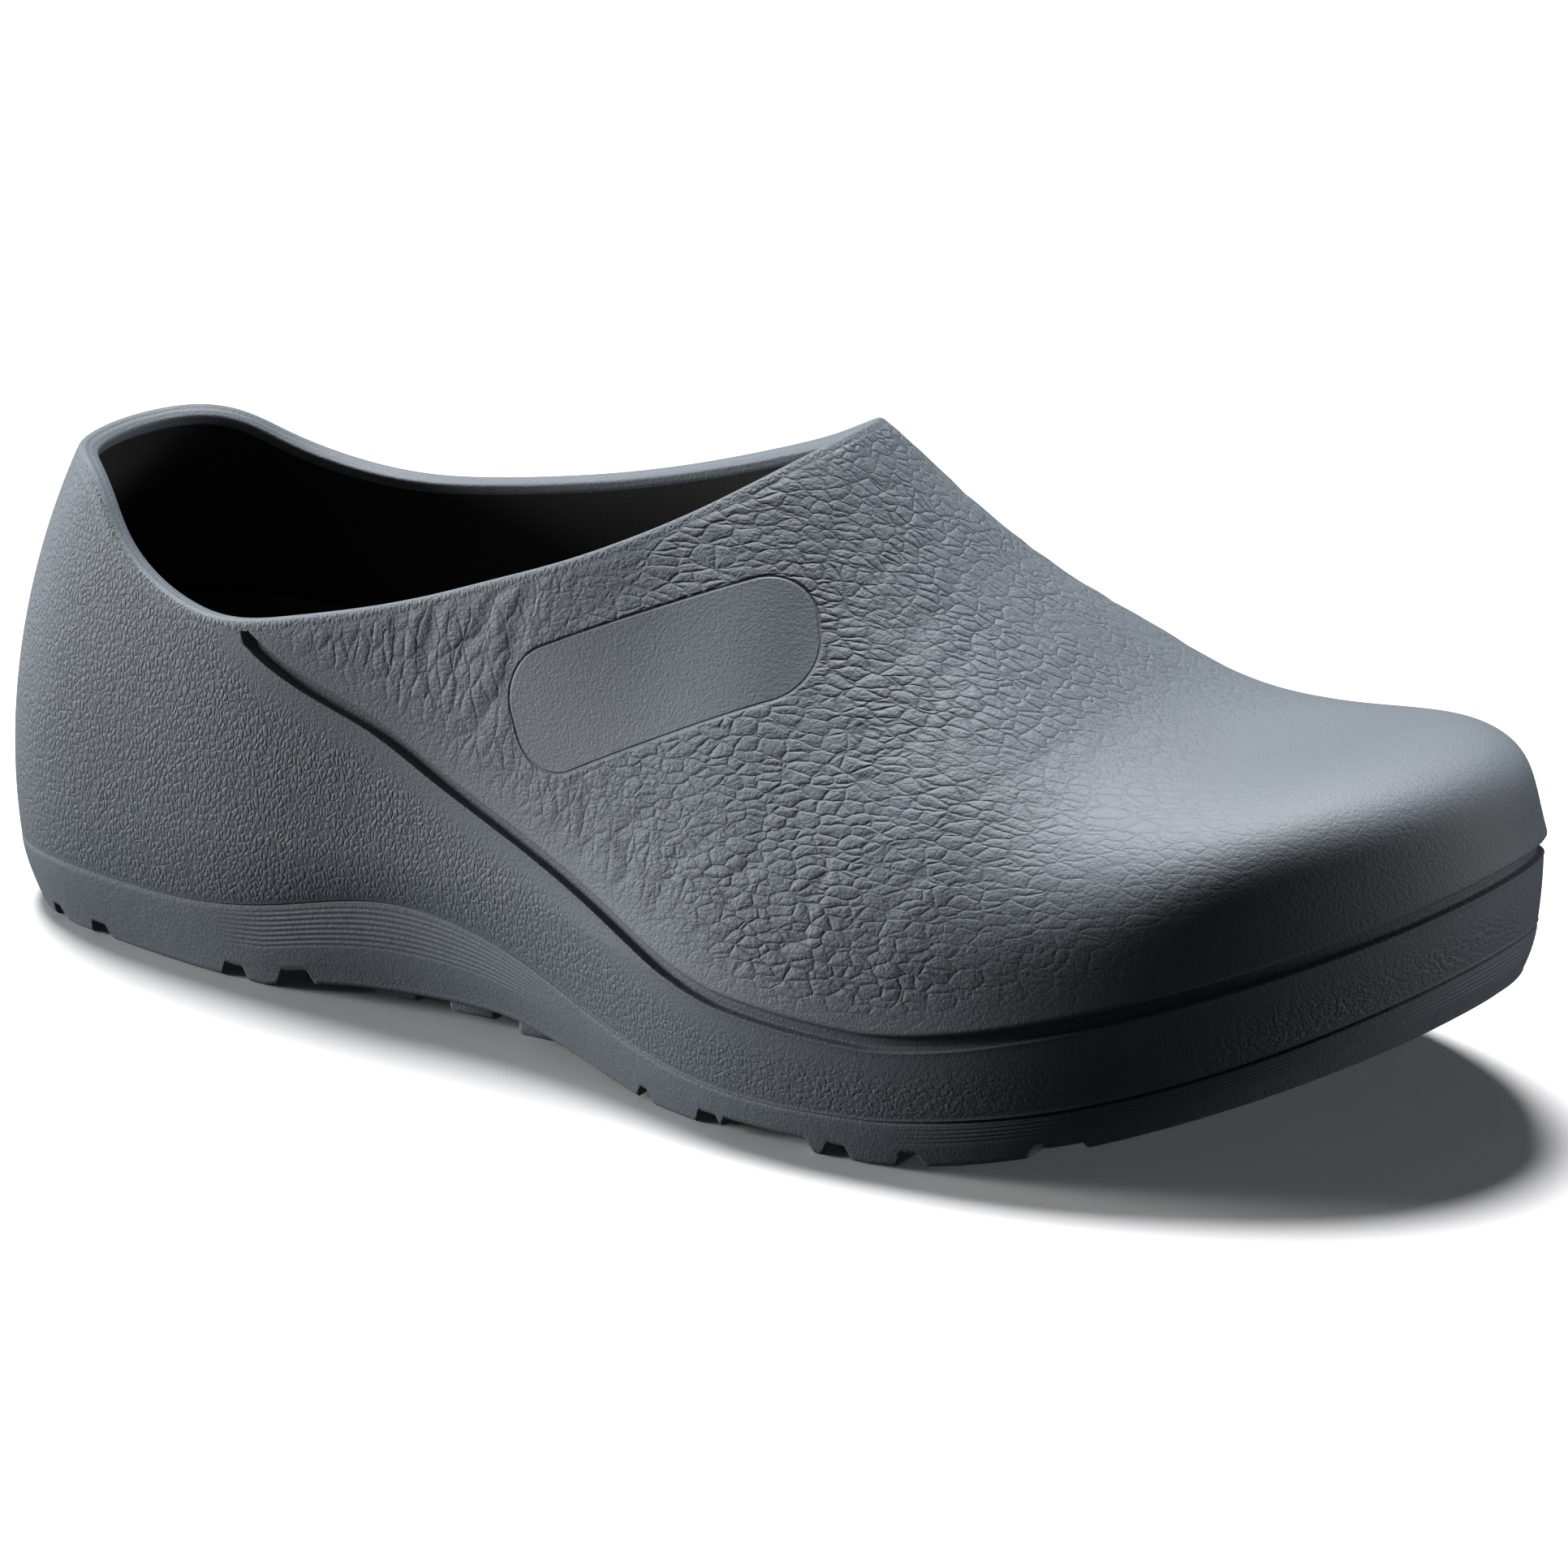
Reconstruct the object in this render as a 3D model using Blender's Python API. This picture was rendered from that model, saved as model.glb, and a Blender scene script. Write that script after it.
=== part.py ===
"""Chef clog: a right shoe moulded in polyurethane, with a loose footbed.

X runs from heel to toe, +Y is the inner (medial) side, +Z is up. The shoe stands on z = 0
and the origin is in the middle of its sole's length and width.
"""
import math

import bmesh
import bpy
import numpy as np

# Driving sizes, in metres
LENGTH = 0.300            # heel back to toe tip
BALL_WIDTH = 0.114        # widest place of the forefoot
INSTEP_HEIGHT = 0.1108    # top of the throat over the floor
HEEL_HEIGHT = 0.0867      # top of the collar at the heel
LATERAL_DIP = 0.0675      # lowest place of the collar, outer side
MEDIAL_DIP = 0.0750       # lowest place of the collar, inner side
TOE_HEIGHT = 0.0690       # top of the toe box
BELT_HEIGHT = 0.0240      # height of the widest line at the heel
SOLE_EDGE = 0.0135        # height of the outsole's side at the heel
FLOOR_HEIGHT = 0.0330     # heel seat of the outsole, under the footbed
TOE_SPRING = 0.0245       # lift of the sole at the toe tip
LATERAL_ARCH = 0.0045     # lift of the sole's edge at the waist, outer side
MEDIAL_ARCH = 0.0080      # and inner side
WALL = 0.0040             # wall of the moulded upper
TUCK = 0.0050             # how far the side draws in towards the floor
THROAT = 0.590            # station of the throat, share of the length
HEEL_POLE = 0.15          # stations between which the centre line runs
TOE_POLE = 0.80
POLE_EASE = 0.05          # how softly the centre line ends there, share of the length

# Groove between vamp and counter, ribs and treads
GROOVE_WIDTH = 0.0022
GROOVE_DEPTH = 0.0012
VAMP_STEP = 0.0011        # the vamp stands proud of the side along the groove
STEP_FADE = 0.012
GROOVE_FLAT = 0.55        # flat part of its bottom, share of its width
GROOVE_END = 2.2          # it runs out where the collar is this many half widths away
RIB_COUNT = 7
RIB_DEPTH = 0.0005
SIDE_CURVE = 1.6          # how hollow the outsole's side is
EDGE_ROUND = 0.0015       # rounding of the sole's lower edge
TREAD_GAP = 0.0040        # width of a cut between two lugs
TREAD_DEPTH = 0.0025
EDGE_BAND = 0.0080        # how far some cuts stay inside the sole's edge
RELIEF = 0.0045           # how deep the edge is drawn back beside some lugs
CUTTER_MARGIN = 0.020     # how far a cutter reaches past the sole's sides
WAIST_LUG_LENGTH = 0.0103
WAIST_LUG_PITCH = 0.0171
WAIST_LUG_START = 0.324   # station of the first one
WAIST_LUG_COUNT = 3
WAIST_LUG_ROOT = 0.0054   # how far they run up into the sole
WAIST_LUG_INSET = 0.0030
WAIST_LUG_CLEARANCE = 0.0012   # their feet stay off the floor
SPRING_START = 0.70       # station where the sole leaves the floor
SPRING_POWER = 1.45

# Footbed
BED_THICKNESS = 0.0050
BED_CUP = 0.0110          # rise of its edge at the heel
BED_CUP_WIDTH = 0.013
BED_CUP_END = 0.55        # station where the cup ends
BED_CUP_POWER = 0.7
FIT = 0.0003              # gap that touching pieces keep

# How finely the form is divided
COLLAR_RAYS = 23
VAMP_RAYS = 18
COUNTER_ROWS = 6
VAMP_ROWS = 7
RIM_ROWS = 3
INNER_ROWS = 5
FLOOR_ROWS = 3
COLLAR_CROWDING = 1.5     # powers that draw rays and rows together at the throat and the groove
VAMP_CROWDING = 1.2
ROW_CROWDING = 1.15
SHARP_ANGLE = 40          # degrees over which an edge is shaded sharp


def named(columns, *rows):
    return dict(zip(columns.split(), np.array(rows, float).T))


# Plan of the widest line: half widths as shares of the ball width
PLAN = named("station lateral medial",
             (0.000, 0.000, 0.000),
             (0.010, -0.127, 0.127),
             (0.060, -0.254, 0.272),
             (0.140, -0.312, 0.328),
             (0.240, -0.347, 0.337),
             (0.350, -0.359, 0.335),
             (0.470, -0.424, 0.363),
             (0.580, -0.508, 0.416),
             (0.680, -0.531, 0.459),
             (0.780, -0.499, 0.469),
             (0.870, -0.402, 0.433),
             (0.945, -0.254, 0.337),
             (0.988, -0.085, 0.208),
             (1.000, 0.072, 0.072))

# Centre line of the form, share of the ball width
CENTRE = named("station across",
               (0.00, 0.000), (0.30, 0.000), (0.50, 0.010), (0.65, 0.040), (0.80, 0.068), (1.00, 0.072))

# Heights along the shoe. Ridge: share of the rise from toe to instep. Belt, joint and floor: shares of
# BELT_HEIGHT, SOLE_EDGE and FLOOR_HEIGHT, over the toe spring
RIDGE = named("station share",
              (0.00, 1.20), (0.08, 1.22), (0.16, 1.40), (0.24, 1.68), (0.32, 1.82), (0.40, 1.76), (0.46, 1.58),
              (0.52, 1.32), (0.59, 1.000), (0.62, 0.79), (0.65, 0.595), (0.68, 0.42), (0.72, 0.23),
              (0.76, 0.04), (0.80, -0.075), (0.85, -0.115), (0.92, -0.04), (1.00, 0.03))
BELT = named("station share",
             (0.0, 1.00), (0.1, 1.05), (0.2, 1.16), (0.3, 1.28), (0.4, 1.31), (0.5, 1.21), (0.6, 1.035),
             (0.7, 0.965), (0.8, 0.975), (0.9, 0.985), (1.0, 0.995))
JOINT = named("station lateral medial",
              (0.00, 0.95, 0.95), (0.10, 1.00, 1.00), (0.19, 1.03, 1.10), (0.25, 1.23, 1.36),
              (0.32, 1.56, 1.74), (0.37, 1.58, 1.82), (0.44, 1.33, 1.58), (0.50, 0.96, 1.18),
              (0.57, 0.66, 0.76), (0.64, 0.60, 0.62), (0.72, 0.66, 0.64), (0.80, 0.63, 0.62),
              (0.90, 0.63, 0.63), (1.00, 0.76, 0.76))
FLOOR = named("station share",
              (0.0, 1.00), (0.2, 0.99), (0.35, 0.88), (0.5, 0.67), (0.6, 0.55), (0.7, 0.515), (0.85, 0.51),
              (1.0, 0.49))
ARCH = named("station share",
             (0.24, 0.00), (0.27, 0.40), (0.31, 0.68), (0.37, 0.90), (0.42, 1.00), (0.46, 0.72), (0.50, 0.32),
             (0.54, 0.00))

# Section of the upper from the belt to the ridge: how it leans, rises and crowns
PROFILE = named("station lean rise crown",
                (0.00, 0.000, 0.50, 0.40), (0.10, 0.000, 0.54, 0.42), (0.20, 0.020, 0.58, 0.42),
                (0.36, 0.020, 0.55, 0.38), (0.45, 0.050, 0.48, 0.36), (0.52, 0.090, 0.42, 0.36),
                (0.59, 0.085, 0.43, 0.40), (0.70, 0.040, 0.62, 0.53), (0.80, 0.035, 0.78, 0.68),
                (0.90, 0.035, 0.88, 0.92), (1.00, 0.040, 0.94, 0.98))

# Collar line: shares of the rise from the dip to the heel and from the dip to the instep
COLLAR = named("station heel lateral medial",
               (0.00, 1.00, 0.000, 0.000), (0.04, 1.00, 0.000, 0.000), (0.08, 0.80, 0.000, 0.000),
               (0.11, 0.50, 0.000, 0.000), (0.14, 0.25, 0.000, 0.000), (0.175, 0.07, 0.000, 0.000),
               (0.21, 0.00, 0.005, 0.005), (0.26, 0.00, 0.065, 0.045), (0.31, 0.00, 0.155, 0.120),
               (0.36, 0.00, 0.265, 0.215), (0.41, 0.00, 0.395, 0.335), (0.45, 0.00, 0.500, 0.450),
               (0.49, 0.00, 0.620, 0.580), (0.53, 0.00, 0.760, 0.730), (0.59, 0.00, 1.000, 1.000),
               (1.00, 0.00, 1.000, 1.000))

# Groove line: share of the rise from the belt to the collar's dip
GROOVE = named("station share",
               (0.00, 2.00), (0.18, 1.30), (0.22, 1.02), (0.25, 0.875), (0.29, 0.745), (0.33, 0.635),
               (0.37, 0.485), (0.41, 0.360), (0.45, 0.262), (0.49, 0.175), (0.53, 0.092), (0.565, 0.030),
               (0.60, 0.000), (1.00, 0.000))

# How far the side draws in, shares of TUCK, at the joint and at the lower edge, and how strong the ribs are
DRAW = named("station joint edge rib",
             (0.00, 0.10, 0.78, 0.0), (0.14, 0.20, 0.56, 0.2), (0.24, 0.34, 0.50, 1.0), (0.35, 0.42, 0.90, 1.0),
             (0.46, 0.32, 0.80, 0.8), (0.58, 0.20, 0.40, 0.1), (0.72, 0.20, 0.40, 0.0), (0.85, 0.20, 0.45, 1.0),
             (1.00, 0.20, 0.70, 1.0))

# Cuts across the tread: width as a share of TREAD_GAP, and distance inside the edge as a share of EDGE_BAND
CUTS = named("station gap inset",
             (0.056, 0.9, 0), (0.100, 1.2, 0), (0.144, 0.8, 1), (0.180, 0.8, 1), (0.2165, 1.2, 0), (0.261, 1.6, 0),
             (0.538, 0.7, 0), (0.5906, 1.2, 0), (0.636, 0.8, 1), (0.6806, 1.1, 0), (0.727, 1.0, 0),
             (0.773, 0.8, 1), (0.830, 1.0, 1), (0.876, 0.8, 1), (0.922, 0.8, 1))

# Where the edge beside a lug is drawn back: length as a share of TREAD_GAP
RELIEFS = named("station length", (0.632, 4.6), (0.812, 2.2))

# Section of the footbed's raised edge: shares of BED_CUP_WIDTH and of the cup's rise
CUP = named("inset rise", (0.18, 0.95), (0.60, 0.35), (1.20, 0.04))


def spline(table, column, at):
    """Natural cubic spline through one column of a table."""
    xs, ys = table["station"], table[column]
    at = np.clip(at, xs[0], xs[-1])
    step, slope = np.diff(xs), np.diff(ys) / np.diff(xs)
    n = len(xs)
    matrix, right = np.eye(n), np.zeros(n)
    for i in range(1, n - 1):
        matrix[i, i - 1:i + 2] = step[i - 1], 2 * (step[i - 1] + step[i]), step[i]
        right[i] = 6 * (slope[i] - slope[i - 1])
    bend = np.linalg.solve(matrix, right)
    k = np.clip(np.searchsorted(xs, at, side="right") - 1, 0, n - 2)
    a, h = at - xs[k], step[k]
    first = slope[k] - h * (2 * bend[k] + bend[k + 1]) / 6
    return ys[k] + a * (first + a * (bend[k] / 2 + a * (bend[k + 1] - bend[k]) / (6 * h)))


def station_of(turn):
    return (1 - np.cos(turn)) / 2


def loop_table():
    """The plan as one closed table, turn by turn: heel, outer side, toe, inner side and heel again."""
    turn = np.arccos(1 - 2 * PLAN["station"])
    turns = np.concatenate([turn, 2 * math.pi - turn[-2::-1]])
    across = np.concatenate([PLAN["lateral"], PLAN["medial"][-2::-1]])
    reach = 4
    turns = np.concatenate([turns[-reach - 1:-1] - 2 * math.pi, turns, turns[1:reach + 1] + 2 * math.pi])
    across = np.concatenate([across[-reach - 1:-1], across, across[1:reach + 1]])
    return {"station": turns, "across": across}


LOOP = loop_table()
SIDE_SAMPLES = np.linspace(0, 2 * math.pi, 721)
SIDEWAYS = -BALL_WIDTH * (spline(LOOP, "across", SIDE_SAMPLES).max()
                          + spline(LOOP, "across", SIDE_SAMPLES).min()) / 2


def outline(turn):
    turn = np.mod(turn, 2 * math.pi)
    return LENGTH * (station_of(turn) - 0.5), BALL_WIDTH * spline(LOOP, "across", turn) + SIDEWAYS


def eased(value, low, high, ease):
    """The value, held softly between two limits."""
    top = np.clip(value - high + ease, 0, 2 * ease)
    bottom = np.clip(low + ease - value, 0, 2 * ease)
    held = np.clip(value, low - ease, high + ease)
    return held - top ** 2 / (4 * ease) + bottom ** 2 / (4 * ease)


def spine(turn):
    station = eased(station_of(turn), HEEL_POLE, TOE_POLE, POLE_EASE)
    return LENGTH * (station - 0.5), BALL_WIDTH * spline(CENTRE, "across", station) + SIDEWAYS


def sided(turn, table):
    station = station_of(turn)
    return np.where(np.sin(turn) >= 0, spline(table, "lateral", station), spline(table, "medial", station))


def spring(station):
    lift = np.clip((station - SPRING_START) / (1 - SPRING_START), 0, None)
    return TOE_SPRING * lift ** SPRING_POWER


def ridge(x):
    return TOE_HEIGHT + (INSTEP_HEIGHT - WALL / 2 - TOE_HEIGHT) * spline(RIDGE, "share", x / LENGTH + 0.5)


def belt(turn):
    station = station_of(turn)
    return BELT_HEIGHT * spline(BELT, "share", station) + spring(station)


def joint(turn):
    return SOLE_EDGE * sided(turn, JOINT) + spring(station_of(turn))


def floor(station):
    return FLOOR_HEIGHT * spline(FLOOR, "share", station) + spring(station)


def sole_edge(turn):
    station = station_of(turn)
    rise = np.where(np.sin(turn) >= 0, LATERAL_ARCH, MEDIAL_ARCH)
    return rise * np.clip(spline(ARCH, "share", station), 0, None) + spring(station)


def dip(turn):
    return np.where(np.sin(turn) >= 0, LATERAL_DIP, MEDIAL_DIP)


def collar(turn):
    """Height of the collar's outer edge, under its round lip."""
    station = np.minimum(station_of(turn), THROAT)
    low = dip(turn)
    high = low + (HEEL_HEIGHT - low) * spline(COLLAR, "heel", station)
    return high + (INSTEP_HEIGHT - low) * sided(turn, COLLAR) - WALL / 2


def groove(turn):
    share = np.clip(spline(GROOVE, "share", station_of(turn)), 0, None)
    return belt(turn) + (dip(turn) - belt(turn)) * share


def skin(turn, level):
    """A point of the outer skin: level -1 at the joint with the outsole, 0 at the belt, 1 on the ridge."""
    turn, level = np.broadcast_arrays(np.asarray(turn, float), np.asarray(level, float))
    px, py = outline(turn)
    sx, sy = spine(turn)
    station = station_of(turn)
    up, down = np.clip(level, 0, 1), np.clip(-level, 0, None)
    lean, rise, crown = (spline(PROFILE, name, station) for name in ("lean", "rise", "crown"))
    first, second, third = 3 * (1 - up) ** 2 * up, 3 * (1 - up) * up ** 2, up ** 3
    inward = first * lean + second * (1 - crown) + third
    climb = first * rise + second + third
    inward = inward + TUCK * spline(DRAW, "joint", station) * down ** 2 / np.hypot(sx - px, sy - py)
    x, y = px + (sx - px) * inward, py + (sy - py) * inward
    base = belt(turn)
    z = base + (ridge(x) - base) * climb - (base - joint(turn)) * down
    return np.stack([x, y, z], -1)


def outward(turn, level):
    """Unit normal of the outer skin."""
    turn, level = np.broadcast_arrays(np.asarray(turn, float), np.asarray(level, float))
    step = 1e-4
    normal = np.cross(skin(turn + step, level) - skin(turn - step, level),
                      skin(turn, level + step) - skin(turn, level - step))
    x = spine(turn)[0]
    slope = (ridge(x + step) - ridge(x - step)) / (2 * step)
    crest = np.stack([-slope, np.zeros_like(slope), np.ones_like(slope)], -1)
    normal = np.where((level > 1 - step)[..., None], crest, normal)
    return normal / np.linalg.norm(normal, axis=-1, keepdims=True)


LEVELS = np.concatenate([np.linspace(-1.5, 0, 31), np.linspace(0, 1, 121)[1:]])


def level_at(turn, height):
    """The level where the outer skin reaches a height."""
    heights = skin(np.atleast_1d(turn)[:, None], LEVELS)[..., 2]
    return np.array([np.interp(z, row, LEVELS) for z, row in zip(np.atleast_1d(height), heights)])


def inside(turn, height, depth):
    """Points at a height on the surface that lies a depth inside the skin of the side."""
    low = LEVELS[LEVELS < 0.5]
    at = np.atleast_1d(turn)[:, None]
    surface = skin(at, low) - depth * outward(at, low)
    return np.array([[np.interp(z, row[:, 2], row[:, 0]), np.interp(z, row[:, 2], row[:, 1]), z]
                     for z, row in zip(np.atleast_1d(height), surface)])


def ray_turns():
    """Turns of the rays: closer together towards the throat, the same stations on both sides."""
    throat = math.acos(1 - 2 * THROAT)
    back = throat * (1 - (1 - np.arange(COLLAR_RAYS) / COLLAR_RAYS) ** COLLAR_CROWDING)
    front = throat + (math.pi - throat) * np.linspace(0, 1, VAMP_RAYS + 1) ** VAMP_CROWDING
    half = np.concatenate([back, front])
    return np.concatenate([half, 2 * math.pi - half[-2:0:-1]]), COLLAR_RAYS


def is_collar(index, throat, count):
    return index <= throat or index >= count - throat


def closed_mesh(name, columns, closed_top=None, loop=False):
    """A mesh from one column of points for each ray, with its coinciding points joined."""
    count, rows = columns.shape[:2]
    mesh = bpy.data.meshes.new(name)
    bm = bmesh.new()
    verts = [[bm.verts.new(point) for point in column] for column in columns]
    for i in range(count):
        j = (i + 1) % count
        for row in range(rows if loop else rows - 1):
            if closed_top and not closed_top(i, j, row):
                continue
            after = (row + 1) % rows
            bm.faces.new((verts[i][row], verts[j][row], verts[j][after], verts[i][after]))
    bmesh.ops.remove_doubles(bm, verts=bm.verts, dist=1e-7)
    bmesh.ops.triangulate(bm, faces=bm.faces)
    bmesh.ops.dissolve_degenerate(bm, dist=1e-7, edges=bm.edges)
    bm.to_mesh(mesh)
    bm.free()
    return mesh


def make_upper(turns, throat):
    """The moulded shell: counter and side, groove, vamp, round collar lip and inner wall."""
    count = len(turns)
    rim = level_at(turns, collar(turns))
    for i in range(count):
        if throat <= i <= count - throat:
            rim[i] = 1.0
    line = level_at(turns, groove(turns))
    line = np.where(groove(turns) <= belt(turns) + 1e-9, 0.0, line)
    path = skin(turns, line)
    along = np.roll(path, -1, 0) - np.roll(path, 1, 0)
    along /= np.linalg.norm(along, axis=1)[:, None]
    climb = (skin(turns, line + 1e-3) - skin(turns, line - 1e-3)) / 2e-3
    crossing = np.linalg.norm(np.cross(along, climb), axis=1)
    half = GROOVE_WIDTH / 2 / crossing
    grooved = line + GROOVE_END * half < rim
    line = np.where(grooved, line, rim)
    half = np.where(grooved, half, 0.0)

    bottom = joint(turns)
    edge = skin(turns, line - half)[:, 2]
    rows = []
    for k in range(COUNTER_ROWS):
        rows.append(skin(turns, level_at(turns, bottom + (edge - bottom) * k / COUNTER_ROWS)))
    depth = np.where(grooved, GROOVE_DEPTH, 0.0)
    for shift, sink in ((-1.0, 0.0), (-GROOVE_FLAT, 1.0), (GROOVE_FLAT, 1.0)):
        level = line + half * shift
        rows.append(skin(turns, level) - (depth * sink)[:, None] * outward(turns, level))
    for k in range(VAMP_ROWS + 1):
        level = (line + half) + (rim - line - half) * (k / VAMP_ROWS) ** ROW_CROWDING
        place = skin(turns, level)
        away = np.linalg.norm(place - path, axis=1)
        proud = VAMP_STEP * np.clip(1 - away / STEP_FADE, 0, 1) ** 2 * grooved
        rows.append(place + proud[:, None] * outward(turns, level))

    outer = rows[-1]
    facing = outward(turns, rim)
    inner = skin(turns, rim) - WALL * facing
    rim_along = np.roll(outer, -1, 0) - np.roll(outer, 1, 0)
    rim_along[throat] = (0, 1, 0)
    rim_along[count - throat] = (0, 1, 0)
    lip = np.cross(facing, rim_along)
    lip /= np.maximum(np.linalg.norm(lip, axis=1), 1e-12)[:, None]
    lip *= np.where(lip[:, 2] < 0, -1, 1)[:, None]
    middle = (outer + inner) / 2
    for k in range(1, RIM_ROWS + 1):
        angle = math.pi * k / (RIM_ROWS + 1)
        rows.append(middle + (outer - middle) * math.cos(angle) + lip * WALL / 2 * math.sin(angle))
    rows.append(inner)
    for k in range(1, INNER_ROWS):
        level = rim * (1 - k / INNER_ROWS)
        rows.append(skin(turns, level) - WALL * outward(turns, level))
    side = skin(turns, 0.0) - WALL * outward(turns, 0.0)
    for k in range(FLOOR_ROWS):
        share = k / FLOOR_ROWS
        rows.append(inside(turns, side[:, 2] * (1 - share) + bottom * share, WALL))
    rows.append(inside(turns, bottom, WALL))

    lip_start = COUNTER_ROWS + 3 + VAMP_ROWS

    def keeps(i, j, row):
        on_lip = lip_start <= row < lip_start + RIM_ROWS + 1
        return not on_lip or (is_collar(i, throat, count) and is_collar(j, throat, count))

    return closed_mesh("upper", np.stack(rows, 1), keeps, loop=True)


def make_outsole(turns):
    """Outsole with its deck inside the upper's wall, the ledge under the wall and the ribbed side."""
    station = station_of(turns)
    px, py = outline(turns)
    sx, sy = spine(turns)
    reach = np.hypot(sx - px, sy - py)
    sx_station = sx / LENGTH + 0.5
    rows = []
    lower = sole_edge(turns)
    top = joint(turns) - FIT

    def side(height, inset):
        share = inset / reach
        return np.stack([px + (sx - px) * share, py + (sy - py) * share, height], 1)

    middle_edge = np.clip(spline(ARCH, "share", sx_station), 0, None) * (LATERAL_ARCH + MEDIAL_ARCH) / 2
    rows.append(np.stack([sx, sy, middle_edge + spring(sx_station)], 1))
    joint_inset, edge_inset = (TUCK * spline(DRAW, name, station) for name in ("joint", "edge"))
    rows.append(side(lower, edge_inset + EDGE_ROUND))
    foot = lower + EDGE_ROUND
    rows.append(side(foot, edge_inset))
    strength = RIB_DEPTH * np.clip(spline(DRAW, "rib", station), 0, 1)
    for k in range(1, 2 * RIB_COUNT):
        share = k / (2 * RIB_COUNT)
        inset = joint_inset + (edge_inset - joint_inset) * (1 - share) ** SIDE_CURVE
        rows.append(side(foot + (top - foot) * share, inset + strength * (k % 2)))
    rows.append(side(top, joint_inset))
    rows.append(inside(turns, top, WALL + FIT))
    deck = floor(station)
    for k in range(1, FLOOR_ROWS + 1):
        rows.append(inside(turns, top + (deck - top) * k / FLOOR_ROWS, WALL + FIT))
    rows.append(np.stack([sx, sy, floor(sx_station)], 1))
    return closed_mesh("outsole", np.stack(rows, 1))


def make_insole(turns):
    """Loose footbed: flat under, cupped at the heel."""
    station = station_of(turns)
    sx, sy = spine(turns)
    sx_station = sx / LENGTH + 0.5
    base = floor(station) + FIT
    cup = BED_CUP * np.clip(1 - station / BED_CUP_END, 0, 1) ** BED_CUP_POWER
    rim_top = base + BED_THICKNESS + cup
    under = inside(turns, base, WALL + FIT)
    edge = inside(turns, rim_top, WALL + FIT)
    toward = np.stack([sx, sy], 1) - edge[:, :2]
    reach = np.linalg.norm(toward, axis=1)[:, None]

    def drawn(inset, height):
        return np.column_stack([edge[:, :2] + toward / reach * inset, height])

    rows = [np.stack([sx, sy, floor(sx_station) + FIT], 1), under, edge]
    rows += [drawn(BED_CUP_WIDTH * inset, base + BED_THICKNESS + cup * rise)
             for inset, rise in zip(CUP["inset"], CUP["rise"])]
    rows.append(np.stack([sx, sy, floor(sx_station) + FIT + BED_THICKNESS], 1))
    return closed_mesh("insole", np.stack(rows, 1))


def material(name, colour, roughness):
    made = bpy.data.materials.new(name)
    made.use_nodes = True
    shader = made.node_tree.nodes["Principled BSDF"]
    shader.inputs["Base Color"].default_value = (*colour, 1.0)
    shader.inputs["Roughness"].default_value = roughness
    shader.inputs["Metallic"].default_value = 0.0
    return made


def placed(name, mesh, collection, look=None):
    thing = bpy.data.objects.new(name, mesh)
    collection.objects.link(thing)
    if look:
        mesh.materials.append(look)
        mesh.shade_smooth()
        mesh.set_sharp_from_angle(angle=math.radians(SHARP_ANGLE))
    return thing


def box(name, centre, size, tilt, collection):
    bpy.ops.mesh.primitive_cube_add(size=1, location=centre, rotation=(0, tilt, 0))
    thing = bpy.context.object
    thing.name = name
    thing.scale = size
    for holder in list(thing.users_collection):
        holder.objects.unlink(thing)
    collection.objects.link(thing)
    thing.hide_render = True
    thing.display_type = "WIRE"
    return thing


def sole_edges(station):
    """Where the tread's two edges lie across the shoe at a station."""
    turn = math.acos(1 - 2 * station)
    inset = TUCK * float(spline(DRAW, "edge", station))
    return float(outline(turn)[1]) + inset, float(outline(2 * math.pi - turn)[1]) - inset


def sole_cutters(cutters):
    """Cuts across the sole that leave the lugs between them, and reliefs beside some lugs."""
    def cutter(name, station, length, outer, inner):
        ahead, behind = spring(station + length / LENGTH / 2), spring(station - length / LENGTH / 2)
        box(name, (LENGTH * (station - 0.5), (outer + inner) / 2, float(spring(station))),
            (length, inner - outer, TREAD_DEPTH * 2), -math.atan2(ahead - behind, length), cutters)

    for k, (station, gap, inset) in enumerate(zip(*CUTS.values())):
        outer, inner = sole_edges(station)
        reach = EDGE_BAND * inset if inset else -CUTTER_MARGIN
        cutter(f"tread_cut_{k}", station, TREAD_GAP * gap, outer + reach, inner - reach)
    for k, (station, length) in enumerate(zip(*RELIEFS.values())):
        outer, inner = sole_edges(station)
        cutter(f"relief_outer_{k}", station, TREAD_GAP * length, outer - CUTTER_MARGIN, outer + RELIEF)
        cutter(f"relief_inner_{k}", station, TREAD_GAP * length, inner - RELIEF, inner + CUTTER_MARGIN)


def waist_lugs(lugs):
    """Blocks that stand down from the waist, inside its drawn-in edge."""
    for k in range(WAIST_LUG_COUNT):
        station = WAIST_LUG_START + k * WAIST_LUG_PITCH / LENGTH
        outer, inner = sole_edges(station)
        low = WAIST_LUG_CLEARANCE
        high = float(sole_edge(math.acos(1 - 2 * station))) + WAIST_LUG_ROOT
        centre = (LENGTH * (station - 0.5), (outer + inner) / 2, (low + high) / 2)
        size = (WAIST_LUG_LENGTH, inner - outer - 2 * WAIST_LUG_INSET, high - low)
        box(f"waist_lug_{k}", centre, size, 0.0, lugs)


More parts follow.
